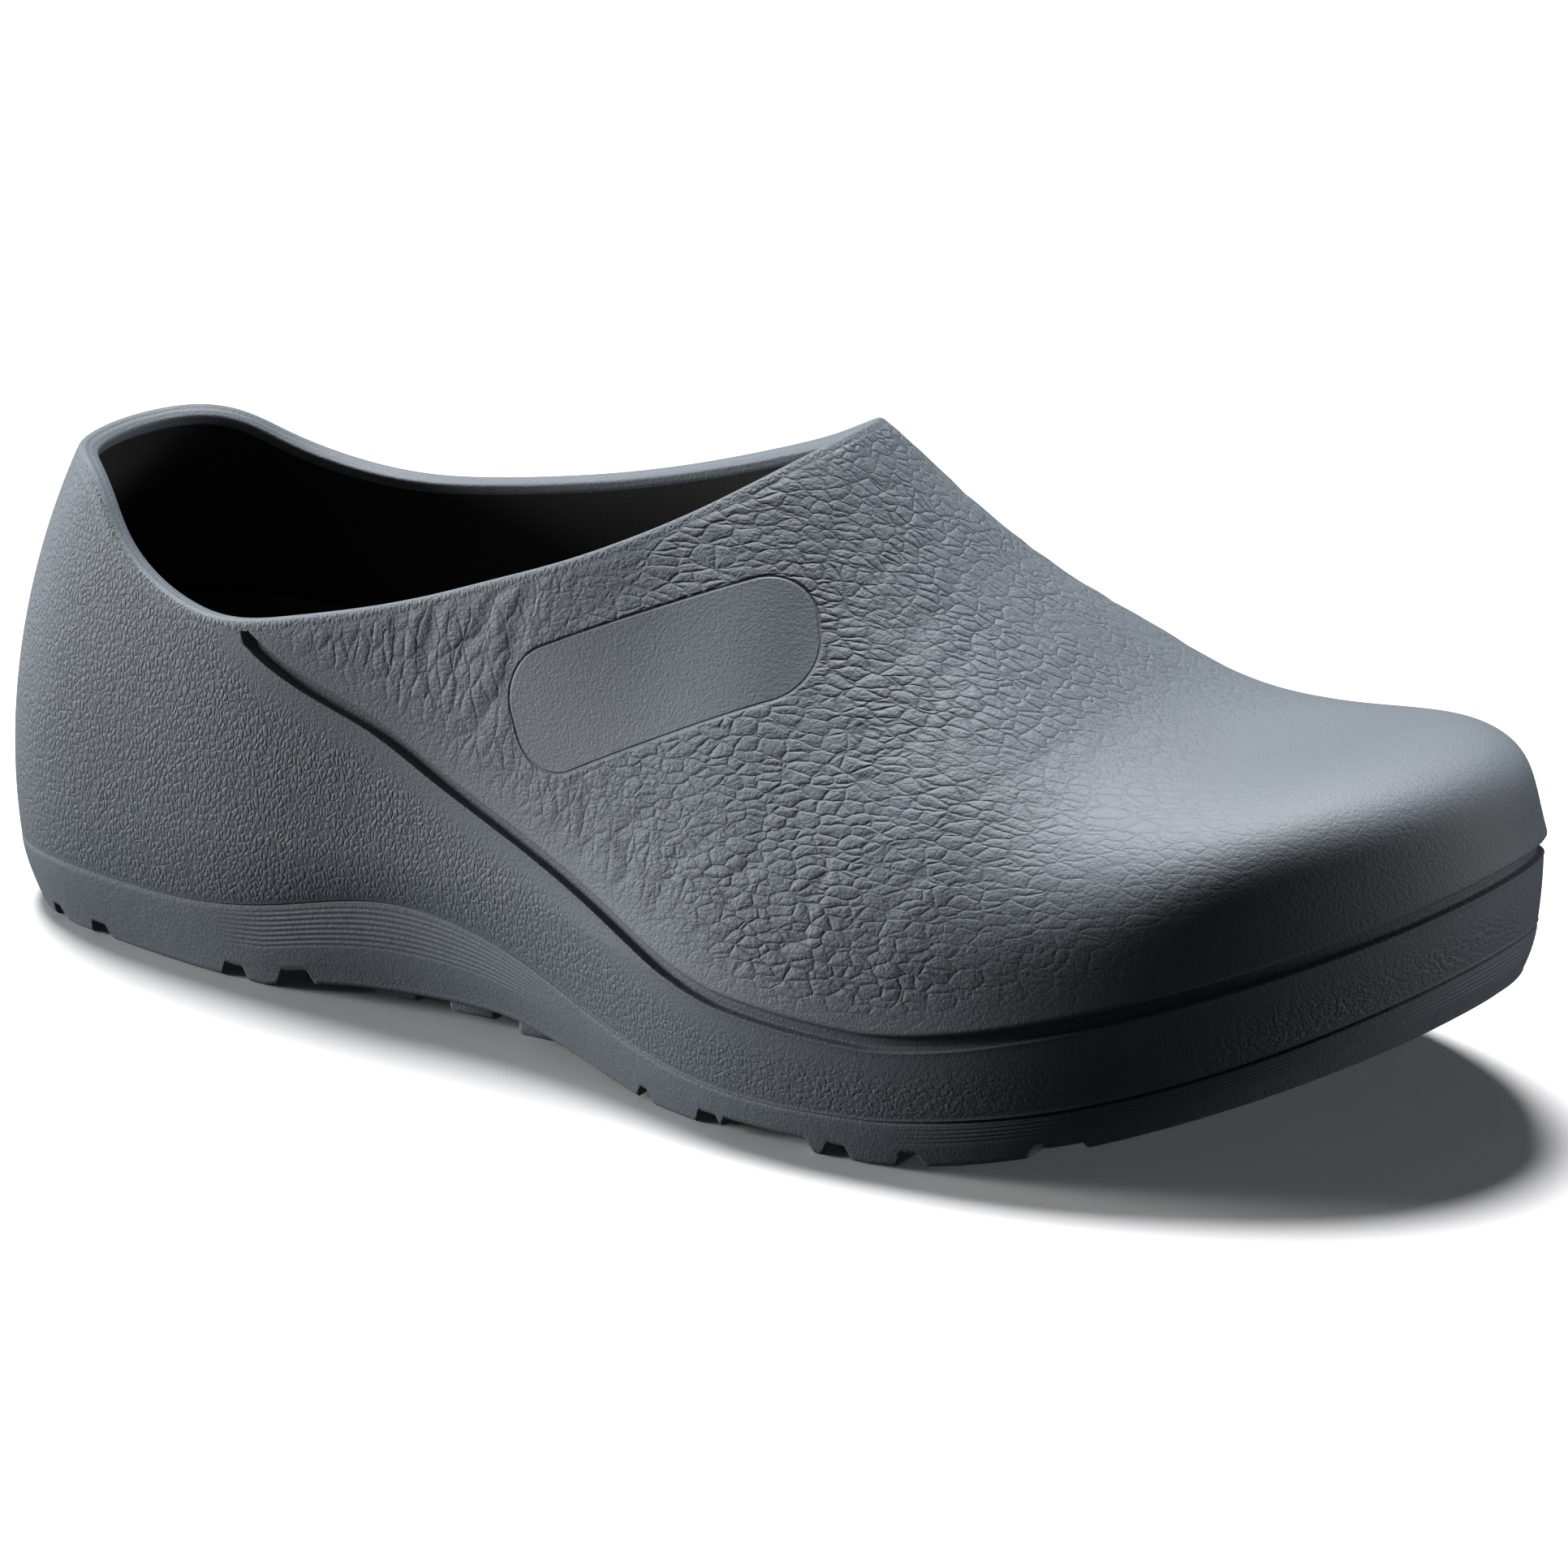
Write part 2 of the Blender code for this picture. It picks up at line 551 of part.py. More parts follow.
def main():
    for thing in list(bpy.data.objects):
        bpy.data.objects.remove(thing, do_unlink=True)
    shoe = bpy.data.collections.new("chef_clog")
    cutters = bpy.data.collections.new("cutters")
    lugs = bpy.data.collections.new("lugs")
    for collection in (shoe, cutters, lugs):
        bpy.context.scene.collection.children.link(collection)

    turns, throat = ray_turns()
    slate = (0.060, 0.075, 0.092)
    placed("upper", make_upper(turns, throat), shoe, material("upper", slate, 0.55))
    outsole = placed("outsole", make_outsole(turns), shoe, material("outsole", (0.050, 0.063, 0.078), 0.60))
    placed("insole", make_insole(turns), shoe, material("insole", (0.020, 0.021, 0.023), 0.85))

    sole_cutters(cutters)
    waist_lugs(lugs)
    for name, collection, operation in (("treads", cutters, "DIFFERENCE"), ("waist", lugs, "UNION")):
        cut = outsole.modifiers.new(name, "BOOLEAN")
        cut.operand_type = "COLLECTION"
        cut.collection = collection
        cut.operation = operation
        cut.solver = "EXACT"


main()
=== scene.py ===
import math
import bmesh
import bpy
import numpy as np
from mathutils import Matrix, kdtree, noise


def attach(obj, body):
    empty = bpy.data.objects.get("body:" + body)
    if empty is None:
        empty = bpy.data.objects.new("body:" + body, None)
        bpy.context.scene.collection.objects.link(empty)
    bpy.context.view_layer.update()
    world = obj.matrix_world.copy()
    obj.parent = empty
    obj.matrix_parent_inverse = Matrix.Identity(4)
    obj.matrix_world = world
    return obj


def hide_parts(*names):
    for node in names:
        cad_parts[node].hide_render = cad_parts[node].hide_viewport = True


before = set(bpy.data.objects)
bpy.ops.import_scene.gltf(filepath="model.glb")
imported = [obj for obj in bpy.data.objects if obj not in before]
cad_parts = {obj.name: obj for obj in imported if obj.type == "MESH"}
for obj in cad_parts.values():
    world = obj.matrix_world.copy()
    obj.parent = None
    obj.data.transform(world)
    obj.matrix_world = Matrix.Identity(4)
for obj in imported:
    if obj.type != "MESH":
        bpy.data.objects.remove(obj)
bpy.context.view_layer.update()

print("frame loaded")

# the shoe's own sizes, in metres: x from heel to toe, +y the inner side
shoe = dict(length=0.300, ballWidth=0.114, instepHeight=0.1108, heelHeight=0.0867, lateralDip=0.0675,
            medialDip=0.0750, toeHeight=0.0690, beltHeight=0.0240, soleEdge=0.0135, floorHeight=0.0330,
            toeSpring=0.0245, lateralArch=0.0045, medialArch=0.0080, wall=0.0040, tuck=0.0050, throat=0.590,
            heelPole=0.15, toePole=0.80, poleEase=0.05, springStart=0.70, springPower=1.45, fit=0.0003)


def named(columns, *rows):
    return dict(zip(columns.split(), np.array(rows, float).T))


plan = named("station lateral medial",
             (0.000, 0.000, 0.000), (0.010, -0.127, 0.127), (0.060, -0.254, 0.272), (0.140, -0.312, 0.328),
             (0.240, -0.347, 0.337), (0.350, -0.359, 0.335), (0.470, -0.424, 0.363), (0.580, -0.508, 0.416),
             (0.680, -0.531, 0.459), (0.780, -0.499, 0.469), (0.870, -0.402, 0.433), (0.945, -0.254, 0.337),
             (0.988, -0.085, 0.208), (1.000, 0.072, 0.072))
centre = named("station across", (0.00, 0.000), (0.30, 0.000), (0.50, 0.010), (0.65, 0.040), (0.80, 0.068),
               (1.00, 0.072))
ridgeLine = named("station share",
                  (0.00, 1.20), (0.08, 1.22), (0.16, 1.40), (0.24, 1.68), (0.32, 1.82), (0.40, 1.76),
                  (0.46, 1.58), (0.52, 1.32), (0.59, 1.000), (0.62, 0.79), (0.65, 0.595), (0.68, 0.42),
                  (0.72, 0.23), (0.76, 0.04), (0.80, -0.075), (0.85, -0.115), (0.92, -0.04), (1.00, 0.03))
beltLine = named("station share",
                 (0.0, 1.00), (0.1, 1.05), (0.2, 1.16), (0.3, 1.28), (0.4, 1.31), (0.5, 1.21), (0.6, 1.035),
                 (0.7, 0.965), (0.8, 0.975), (0.9, 0.985), (1.0, 0.995))
jointLine = named("station lateral medial",
                  (0.00, 0.95, 0.95), (0.10, 1.00, 1.00), (0.19, 1.03, 1.10), (0.25, 1.23, 1.36),
                  (0.32, 1.56, 1.74), (0.37, 1.58, 1.82), (0.44, 1.33, 1.58), (0.50, 0.96, 1.18),
                  (0.57, 0.66, 0.76), (0.64, 0.60, 0.62), (0.72, 0.66, 0.64), (0.80, 0.63, 0.62),
                  (0.90, 0.63, 0.63), (1.00, 0.76, 0.76))
floorLine = named("station share", (0.0, 1.00), (0.2, 0.99), (0.35, 0.88), (0.5, 0.67), (0.6, 0.55),
                  (0.7, 0.515), (0.85, 0.51), (1.0, 0.49))
archLine = named("station share", (0.24, 0.00), (0.27, 0.40), (0.31, 0.68), (0.37, 0.90), (0.42, 1.00),
                 (0.46, 0.72), (0.50, 0.32), (0.54, 0.00))
profile = named("station lean rise crown",
                (0.00, 0.000, 0.50, 0.40), (0.10, 0.000, 0.54, 0.42), (0.20, 0.020, 0.58, 0.42),
                (0.36, 0.020, 0.55, 0.38), (0.45, 0.050, 0.48, 0.36), (0.52, 0.090, 0.42, 0.36),
                (0.59, 0.085, 0.43, 0.40), (0.70, 0.040, 0.62, 0.53), (0.80, 0.035, 0.78, 0.68),
                (0.90, 0.035, 0.88, 0.92), (1.00, 0.040, 0.94, 0.98))
collarLine = named("station heel lateral medial",
                   (0.00, 1.00, 0.000, 0.000), (0.04, 1.00, 0.000, 0.000), (0.08, 0.80, 0.000, 0.000),
                   (0.11, 0.50, 0.000, 0.000), (0.14, 0.25, 0.000, 0.000), (0.175, 0.07, 0.000, 0.000),
                   (0.21, 0.00, 0.005, 0.005), (0.26, 0.00, 0.065, 0.045), (0.31, 0.00, 0.155, 0.120),
                   (0.36, 0.00, 0.265, 0.215), (0.41, 0.00, 0.395, 0.335), (0.45, 0.00, 0.500, 0.450),
                   (0.49, 0.00, 0.620, 0.580), (0.53, 0.00, 0.760, 0.730), (0.59, 0.00, 1.000, 1.000),
                   (1.00, 0.00, 1.000, 1.000))
grooveLine = named("station share",
                   (0.00, 2.00), (0.18, 1.30), (0.22, 1.02), (0.25, 0.875), (0.29, 0.745), (0.33, 0.635),
                   (0.37, 0.485), (0.41, 0.360), (0.45, 0.262), (0.49, 0.175), (0.53, 0.092), (0.565, 0.030),
                   (0.60, 0.000), (1.00, 0.000))
drawLine = named("station joint edge",
                 (0.00, 0.10, 0.78), (0.14, 0.20, 0.56), (0.24, 0.34, 0.50), (0.35, 0.42, 0.90),
                 (0.46, 0.32, 0.80), (0.58, 0.20, 0.40), (0.72, 0.20, 0.40), (0.85, 0.20, 0.45),
                 (1.00, 0.20, 0.70))


def spline(table, column, at):          # natural cubic through one column
    xs, ys = table["station"], table[column]
    at = np.clip(at, xs[0], xs[-1])
    step, slope = np.diff(xs), np.diff(ys) / np.diff(xs)
    n = len(xs)
    matrix, right = np.eye(n), np.zeros(n)
    for i in range(1, n - 1):
        matrix[i, i - 1:i + 2] = step[i - 1], 2 * (step[i - 1] + step[i]), step[i]
        right[i] = 6 * (slope[i] - slope[i - 1])
    bend = np.linalg.solve(matrix, right)
    k = np.clip(np.searchsorted(xs, at, side="right") - 1, 0, n - 2)
    a, h = at - xs[k], step[k]
    first = slope[k] - h * (2 * bend[k] + bend[k + 1]) / 6
    return ys[k] + a * (first + a * (bend[k] / 2 + a * (bend[k + 1] - bend[k]) / (6 * h)))


def stationOf(turn):
    return (1 - np.cos(turn)) / 2


def loopTable():                        # the plan turn by turn, with a few rows repeated at both ends
    turn = np.arccos(1 - 2 * plan["station"])
    turns = np.concatenate([turn, 2 * math.pi - turn[-2::-1]])
    across = np.concatenate([plan["lateral"], plan["medial"][-2::-1]])
    reach = 4
    turns = np.concatenate([turns[-reach - 1:-1] - 2 * math.pi, turns, turns[1:reach + 1] + 2 * math.pi])
    across = np.concatenate([across[-reach - 1:-1], across, across[1:reach + 1]])
    return {"station": turns, "across": across}


loop = loopTable()
widths = spline(loop, "across", np.linspace(0, 2 * math.pi, 721))
sideways = -shoe["ballWidth"] * (widths.max() + widths.min()) / 2


def outline(turn):
    turn = np.mod(turn, 2 * math.pi)
    across = shoe["ballWidth"] * spline(loop, "across", turn) + sideways
    return shoe["length"] * (stationOf(turn) - 0.5), across


def eased(value, low, high, ease):
    top = np.clip(value - high + ease, 0, 2 * ease)
    bottom = np.clip(low + ease - value, 0, 2 * ease)
    return np.clip(value, low - ease, high + ease) - top ** 2 / (4 * ease) + bottom ** 2 / (4 * ease)


def spine(turn):
    station = eased(stationOf(turn), shoe["heelPole"], shoe["toePole"], shoe["poleEase"])
    across = shoe["ballWidth"] * spline(centre, "across", station) + sideways
    return shoe["length"] * (station - 0.5), across


def sided(turn, table):
    station = stationOf(turn)
    return np.where(np.sin(turn) >= 0, spline(table, "lateral", station), spline(table, "medial", station))


def spring(station):
    lift = np.clip((station - shoe["springStart"]) / (1 - shoe["springStart"]), 0, None)
    return shoe["toeSpring"] * lift ** shoe["springPower"]


def ridge(x):
    rise = shoe["instepHeight"] - shoe["wall"] / 2 - shoe["toeHeight"]
    return shoe["toeHeight"] + rise * spline(ridgeLine, "share", x / shoe["length"] + 0.5)


def belt(turn):
    station = stationOf(turn)
    return shoe["beltHeight"] * spline(beltLine, "share", station) + spring(station)


def joint(turn):
    return shoe["soleEdge"] * sided(turn, jointLine) + spring(stationOf(turn))


def floorAt(station):
    return shoe["floorHeight"] * spline(floorLine, "share", station) + spring(station)


def soleEdge(turn):
    station = stationOf(turn)
    rise = np.where(np.sin(turn) >= 0, shoe["lateralArch"], shoe["medialArch"])
    return rise * np.clip(spline(archLine, "share", station), 0, None) + spring(station)


def dip(turn):
    return np.where(np.sin(turn) >= 0, shoe["lateralDip"], shoe["medialDip"])


def collar(turn):
    station = np.minimum(stationOf(turn), shoe["throat"])
    low = dip(turn)
    high = low + (shoe["heelHeight"] - low) * spline(collarLine, "heel", station)
    return high + (shoe["instepHeight"] - low) * sided(turn, collarLine) - shoe["wall"] / 2


def groove(turn):
    share = np.clip(spline(grooveLine, "share", stationOf(turn)), 0, None)
    return belt(turn) + (dip(turn) - belt(turn)) * share


def skin(turn, level):                  # level -1 at the joint, 0 at the belt, 1 on the ridge
    turn, level = np.broadcast_arrays(np.asarray(turn, float), np.asarray(level, float))
    px, py = outline(turn)
    sx, sy = spine(turn)
    station = stationOf(turn)
    up, down = np.clip(level, 0, 1), np.clip(-level, 0, None)
    lean, rise, crown = (spline(profile, name, station) for name in ("lean", "rise", "crown"))
    first, second, third = 3 * (1 - up) ** 2 * up, 3 * (1 - up) * up ** 2, up ** 3
    inward = first * lean + second * (1 - crown) + third
    climb = first * rise + second + third
    drawIn = shoe["tuck"] * spline(drawLine, "joint", station) * down ** 2
    inward = inward + drawIn / np.hypot(sx - px, sy - py)
    base = belt(turn)
    z = base + (ridge(px + (sx - px) * inward) - base) * climb - (base - joint(turn)) * down
    return np.stack([px + (sx - px) * inward, py + (sy - py) * inward, z], -1)


def outward(turn, level):
    turn, level = np.broadcast_arrays(np.asarray(turn, float), np.asarray(level, float))
    step = 1e-4
    normal = np.cross(skin(turn + step, level) - skin(turn - step, level),
                      skin(turn, level + step) - skin(turn, level - step))
    x = spine(turn)[0]
    slope = (ridge(x + step) - ridge(x - step)) / (2 * step)
    crest = np.stack([-slope, np.zeros_like(slope), np.ones_like(slope)], -1)
    normal = np.where((level > 1 - step)[..., None], crest, normal)
    return normal / np.linalg.norm(normal, axis=-1, keepdims=True)


levelSteps = np.concatenate([np.linspace(-1.5, 0, 31), np.linspace(0, 1, 161)[1:]])


def levelAt(turn, height):              # where the skin reaches a height
    heights = skin(np.atleast_1d(turn)[:, None], levelSteps)[..., 2]
    return np.array([np.interp(z, row, levelSteps) for z, row in zip(np.atleast_1d(height), heights)])


def insideAt(turn, height, depth):      # points at a height, a depth inside the side's skin
    low = levelSteps[levelSteps < 0.5]
    at = np.atleast_1d(turn)[:, None]
    surface = skin(at, low) - depth * outward(at, low)
    return np.array([[np.interp(z, row[:, 2], row[:, 0]), np.interp(z, row[:, 2], row[:, 1]), z]
                     for z, row in zip(np.atleast_1d(height), surface)])


def evenLevels(turn, low, high, rows):  # levels at even steps along the skin, one row of them per turn
    share = np.linspace(0, 1, 61)
    levels = low[:, None] + (high - low)[:, None] * share
    points = skin(turn[:, None], levels)
    run = np.concatenate([np.zeros((len(turn), 1)),
                          np.cumsum(np.linalg.norm(np.diff(points, axis=1), axis=2), axis=1)], 1)
    want = np.linspace(0, 1, rows)
    return np.array([np.interp(want * r[-1], r, l) if r[-1] > 0 else np.full(rows, l[0])
                     for r, l in zip(run, levels)])


def smooth(low, high, value):
    t = np.clip((value - low) / (high - low), 0, 1)
    return t * t * (3 - 2 * t)


# meshes from rows of points
def gridObject(name, points, keep=None, wrap=True, marks=None):
    columns, rows = points.shape[:2]
    i, k = np.meshgrid(np.arange(columns if wrap else columns - 1), np.arange(rows - 1), indexing="ij")
    j = (i + 1) % columns
    if keep is not None:
        used = keep[i, k] | keep[j, k]
        i, j, k = i[used], j[used], k[used]
    faces = np.stack([i * rows + k, j * rows + k, j * rows + k + 1, i * rows + k + 1], -1).reshape(-1, 4)
    mesh = bpy.data.meshes.new(name)
    mesh.from_pydata(points.reshape(-1, 3).tolist(), [], faces.tolist())
    for label, values in (marks or {}).items():
        layer = mesh.attributes.new(label, "FLOAT", "POINT")
        layer.data.foreach_set("value", np.asarray(values, np.float32).ravel())
    bm = bmesh.new()
    bm.from_mesh(mesh)
    bmesh.ops.remove_doubles(bm, verts=bm.verts, dist=2e-6)
    bmesh.ops.delete(bm, geom=[v for v in bm.verts if not v.link_faces], context="VERTS")
    bm.to_mesh(mesh)
    bm.free()
    mesh.shade_smooth()
    piece = bpy.data.objects.new(name, mesh)
    bpy.context.scene.collection.objects.link(piece)
    print(name, len(mesh.polygons), "faces")
    return piece


def fieldNoise(points, scale, seed):    # smooth lumps, about -1 to 1
    flat = points.reshape(-1, 3) * scale + seed
    return np.array([noise.noise(p) for p in flat.tolist()]).reshape(points.shape[:-1])


def evenHalf(count):                    # turns from heel to toe, even along the belt, with the throat's
    fine = np.linspace(0, math.pi, 4001)
    steps = (np.linalg.norm(np.diff(skin(fine, 0.0), axis=0), axis=1)
             + np.linalg.norm(np.diff(skin(2 * math.pi - fine, 0.0), axis=0), axis=1))
    run = np.concatenate([[0], np.cumsum(steps)])
    half = np.interp(np.linspace(0, run[-1], count), run, fine)
    half[np.argmin(abs(half - throatTurn))] = throatTurn
    return half


def bothSides(half):
    return np.concatenate([half, 2 * math.pi - half[-2:0:-1]])


throatTurn = math.acos(1 - 2 * shoe["throat"])

# upper: counter and side wall, groove, vamp, lip and inner wall
upper = dict(columns=470, counterRows=92, vampRows=128, lipRows=15, innerRows=24, lowerRows=5, lipSquare=4.5,
             grooveWidth=0.0028, grooveDepth=0.0014, vampStep=0.0011, stepFade=0.012, grooveEnd=0.10,
             endFade=0.0013, flash=0.00013, lumps=0.00009, lumpScale=130.0, creases=0.55)
flash = dict(under=(0.00160, 0.00022), over=(0.0017, 0.00025), joint=0.0003)     # middle and width
# where each comes in: distances in metres, then stations, then distances again
fades = dict(pebble=(0.0030, 0.0095), ledge=(0.0, 0.0015), lip=(-0.0006, 0.0010), step=(0.0010, 0.0021),
             grain=(0.0016, 0.0110), rim=(-0.0010, 0.0020), field=(-0.0004, 0.0010),
             jointFlash=(0.42, 0.55), toe=(0.66, 0.84), tip=(0.84, 0.96),
             back=(-0.030, 0.004), low=(0.010, 0.026), fore=(0.000, 0.045))
tiny = 1e-6                             # keeps divisions off zero

turns = bothSides(evenHalf(upper["columns"]))
count = len(turns)
throat = int(np.argmin(abs(turns - throatTurn)))
rim = levelAt(turns, collar(turns))
rim[throat:count - throat + 1] = 1.0
line = np.where(groove(turns) <= belt(turns) + 1e-9, 0.0, levelAt(turns, groove(turns)))
path = skin(turns, line)
along = np.roll(path, -1, 0) - np.roll(path, 1, 0)
along /= np.maximum(np.linalg.norm(along, axis=1), 1e-12)[:, None]
climb = (skin(turns, line + 1e-3) - skin(turns, line - 1e-3)) / 2e-3
crossing = np.linalg.norm(np.cross(along, climb), axis=1)     # metres across the groove for each level
half = upper["grooveWidth"] / 2 / np.maximum(crossing, tiny)
grooved = line + upper["grooveEnd"] * half < rim
line = np.where(grooved, line, rim)
perMetre = np.where(grooved, 1 / np.maximum(crossing, tiny), 0.0)
strong = smooth(0.0, upper["endFade"], (rim - line) * crossing) * grooved     # runs out at the lip
pathTree = kdtree.KDTree(int(grooved.sum()))
for k, point in enumerate(path[grooved]):
    pathTree.insert(point, k)
pathTree.balance()


def fromGroove(points):                 # distance from the groove's middle
    gaps = [pathTree.find(p)[2] for p in points.reshape(-1, 3).tolist()]
    return np.array(gaps).reshape(points.shape[:-1])


def levelFromGroove(distance):          # above the groove's middle, below it where negative
    level = line + distance * perMetre
    for step in range(6 if distance else 0):
        span = np.linalg.norm(np.cross(along, skin(turns, level) - path), axis=1)
        level = line + (level - line) * abs(distance) / np.maximum(span, 1e-7)
    return np.minimum(level, rim)


def awayFrom(points):                   # distance from the groove's middle, column by column
    return np.linalg.norm(np.cross(along[:, None], points - path[:, None]), axis=2)


# side wall and counter, up to the middle of the groove
bottom = levelAt(turns, joint(turns))
under = np.array([4.0, 2.9, 2.2, 1.8, 1.52, 1.40, 1.30, 1.18, 1.04, 0.80, 0.0]) * 1e-3      # rows by the groove
sink = np.array([0, 0, 0, 0, 0, 0.35, 0.75, 0.97, 1.0, 1.0])
body = evenLevels(turns, bottom, levelFromGroove(-under[0]), upper["counterRows"])
levels = np.concatenate([body, np.stack([levelFromGroove(-gap) for gap in under[1:]], 1)], 1)
sunk = np.zeros(levels.shape)
sunk[:, -len(sink):] = sink * upper["grooveDepth"] * strong[:, None]
base = skin(turns[:, None], levels)
facing = outward(turns[:, None], levels)
below = awayFrom(base)
above = base[..., 2] - joint(turns)[:, None]
middle, width = flash["under"]
lift = -sunk + upper["flash"] * np.exp(-((below - middle) / width) ** 2) * strong[:, None]
jointFlash = np.exp(-(above / flash["joint"]) ** 2)
lift += upper["flash"] * jointFlash * smooth(*fades["jointFlash"], stationOf(turns))[:, None]
underLip = np.linalg.norm(base - skin(turns, rim)[:, None], axis=2)
wallPebble = smooth(*fades["pebble"], fromGroove(base)) * smooth(*fades["ledge"], above)
wallPebble *= smooth(*fades["lip"], underLip)
counterPoints = base + facing * lift[..., None]
stationWall = np.broadcast_to(stationOf(turns)[:, None], levels.shape)
counterMarks = dict(pebble=wallPebble, station=stationWall, sunk=sunk / upper["grooveDepth"])
counterPiece = gridObject("counter_and_side", counterPoints, marks=counterMarks)

# vamp, from the middle of the groove to the collar and the ridge
over = np.array([0.0, 0.60, 0.90, 1.04, 1.16, 1.28, 1.42, 1.6, 1.85, 2.2, 2.6, 3.1]) * 1e-3
sink = np.array([1.0, 1.0, 0.97, 0.82, 0.55, 0.25, 0.06, 0, 0, 0, 0, 0])
body = evenLevels(turns, levelFromGroove(over[-1]), rim, upper["vampRows"])
levels = np.concatenate([np.stack([levelFromGroove(gap) for gap in over[:-1]], 1), body], 1)
base = skin(turns[:, None], levels)
facing = outward(turns[:, None], levels)
sunk = np.zeros(levels.shape)
sunk[:, :len(sink)] = sink * upper["grooveDepth"] * strong[:, None]
away = awayFrom(base)
proud = upper["vampStep"] * np.clip(1 - away / upper["stepFade"], 0, 1) ** 2
proud = proud * smooth(*fades["step"], away) * strong[:, None]
station = np.broadcast_to(stationOf(turns)[:, None], levels.shape)
lateral = np.broadcast_to(np.sin(turns)[:, None] >= 0, levels.shape)
print("vamp laid out")

# the bare field on the outer side, with its engraved outline
field = dict(centre=(0.0074, -0.0350, 0.0736), along=(0.905, 0.185, 0.395), length=0.0608, height=0.0222,
             corner=0.0092, line=0.00032, depth=0.00016, sunk=0.00004)


def fieldDistance(points):              # from the outline, negative inside
    ahead = np.array(field["along"]) / np.linalg.norm(field["along"])
    side = np.cross(ahead, (0.02, -0.92, 0.39))
    side /= np.linalg.norm(side)
    off = points - np.array(field["centre"])
    u, v = off @ ahead, off @ side
    du = abs(u) - (field["length"] / 2 - field["corner"])
    dv = abs(v) - (field["height"] / 2 - field["corner"])
    outer = np.hypot(np.maximum(du, 0), np.maximum(dv, 0))
    return outer + np.minimum(np.maximum(du, dv), 0) - field["corner"]


fromField = np.where(lateral, fieldDistance(base), 1.0)
inField = 1 - smooth(*fades["field"], fromField)

# main creases: where each starts and ends as station and level, its depth and width in millimetres
creases = named("side s0 l0 s1 l1 depth width",
                (1, 0.335, 0.20, 0.350, 0.36, 0.30, 1.3), (1, 0.362, 0.16, 0.385, 0.42, 0.34, 1.4),
                (1, 0.395, 0.20, 0.412, 0.40, 0.30, 1.2), (1, 0.405, 0.13, 0.445, 0.46, 0.30, 1.5),
                (1, 0.440, 0.42, 0.475, 0.60, 0.28, 1.2), (1, 0.470, 0.46, 0.520, 0.68, 0.30, 1.4),
                (1, 0.505, 0.50, 0.545, 0.74, 0.26, 1.2), (1, 0.535, 0.60, 0.580, 0.86, 0.24, 1.3),
                (1, 0.605, 0.66, 0.612, 0.98, 0.26, 1.3), (1, 0.632, 0.60, 0.640, 0.99, 0.28, 1.2),
                (1, 0.655, 0.52, 0.668, 0.97, 0.26, 1.4), (1, 0.680, 0.44, 0.700, 0.95, 0.24, 1.3),
                (1, 0.705, 0.40, 0.730, 0.90, 0.20, 1.3), (1, 0.735, 0.36, 0.765, 0.85, 0.16, 1.4),
                (1, 0.480, 0.04, 0.500, 0.20, 0.24, 1.4), (1, 0.515, 0.04, 0.540, 0.24, 0.24, 1.5),
                (1, 0.550, 0.05, 0.585, 0.28, 0.22, 1.4), (1, 0.590, 0.06, 0.625, 0.34, 0.22, 1.5),
                (1, 0.640, 0.08, 0.680, 0.36, 0.20, 1.4), (1, 0.690, 0.10, 0.740, 0.36, 0.16, 1.5),
                (-1, 0.345, 0.22, 0.362, 0.40, 0.28, 1.3), (-1, 0.385, 0.18, 0.410, 0.44, 0.30, 1.4),
                (-1, 0.425, 0.26, 0.455, 0.54, 0.28, 1.3), (-1, 0.470, 0.30, 0.505, 0.66, 0.26, 1.3),
                (-1, 0.520, 0.30, 0.560, 0.78, 0.26, 1.4), (-1, 0.575, 0.30, 0.600, 0.88, 0.26, 1.4),
                (-1, 0.620, 0.34, 0.632, 0.96, 0.26, 1.3), (-1, 0.650, 0.40, 0.665, 0.96, 0.24, 1.3),
                (-1, 0.685, 0.36, 0.705, 0.92, 0.20, 1.4), (-1, 0.725, 0.36, 0.750, 0.88, 0.16, 1.4))


creasing = dict(steps=25, sway=0.006, ripple=0.003, endFade=0.25, ridge=0.45, ridgeAt=2.1)


def creaseLift(points):                 # a soft trough with a lower ridge beside it
    total = np.zeros(points.shape[:-1])
    for row in range(len(creases["side"])):
        c = {name: creases[name][row] for name in creases}
        t = np.linspace(0, 1, creasing["steps"])
        wander = creasing["sway"] * np.sin(2.2 * math.pi * t + 1.7 * row)
        wander += creasing["ripple"] * np.sin(5.4 * math.pi * t + 0.9 * row)
        station = c["s0"] + (c["s1"] - c["s0"]) * t + wander
        turn = np.arccos(1 - 2 * station)
        run = skin(turn if c["side"] > 0 else 2 * math.pi - turn, c["l0"] + (c["l1"] - c["l0"]) * t)
        width = c["width"] * 1e-3
        near = np.all((points > run.min(0) - 4 * width) & (points < run.max(0) + 4 * width), axis=-1)
        spots = points[near]
        if not len(spots):
            continue
        a, b = run[:-1], run[1:]
        share = np.clip(((spots[:, None] - a) * (b - a)).sum(-1) / ((b - a) ** 2).sum(-1), 0, 1)
        gap = np.linalg.norm(spots[:, None] - a - share[..., None] * (b - a), axis=-1)
        nearest = gap.argmin(1)
        gap = gap[np.arange(len(spots)), nearest]
        at = (nearest + share[np.arange(len(spots)), nearest]) / len(a)
        fade = smooth(0, creasing["endFade"], at) * smooth(0, creasing["endFade"], 1 - at)
        ridgeGap = gap - creasing["ridgeAt"] * width
        trough = np.exp(-(gap / width) ** 2) - creasing["ridge"] * np.exp(-(ridgeGap / width) ** 2)
        total[near] -= c["depth"] * 1e-3 * upper["creases"] * fade * trough
    return total


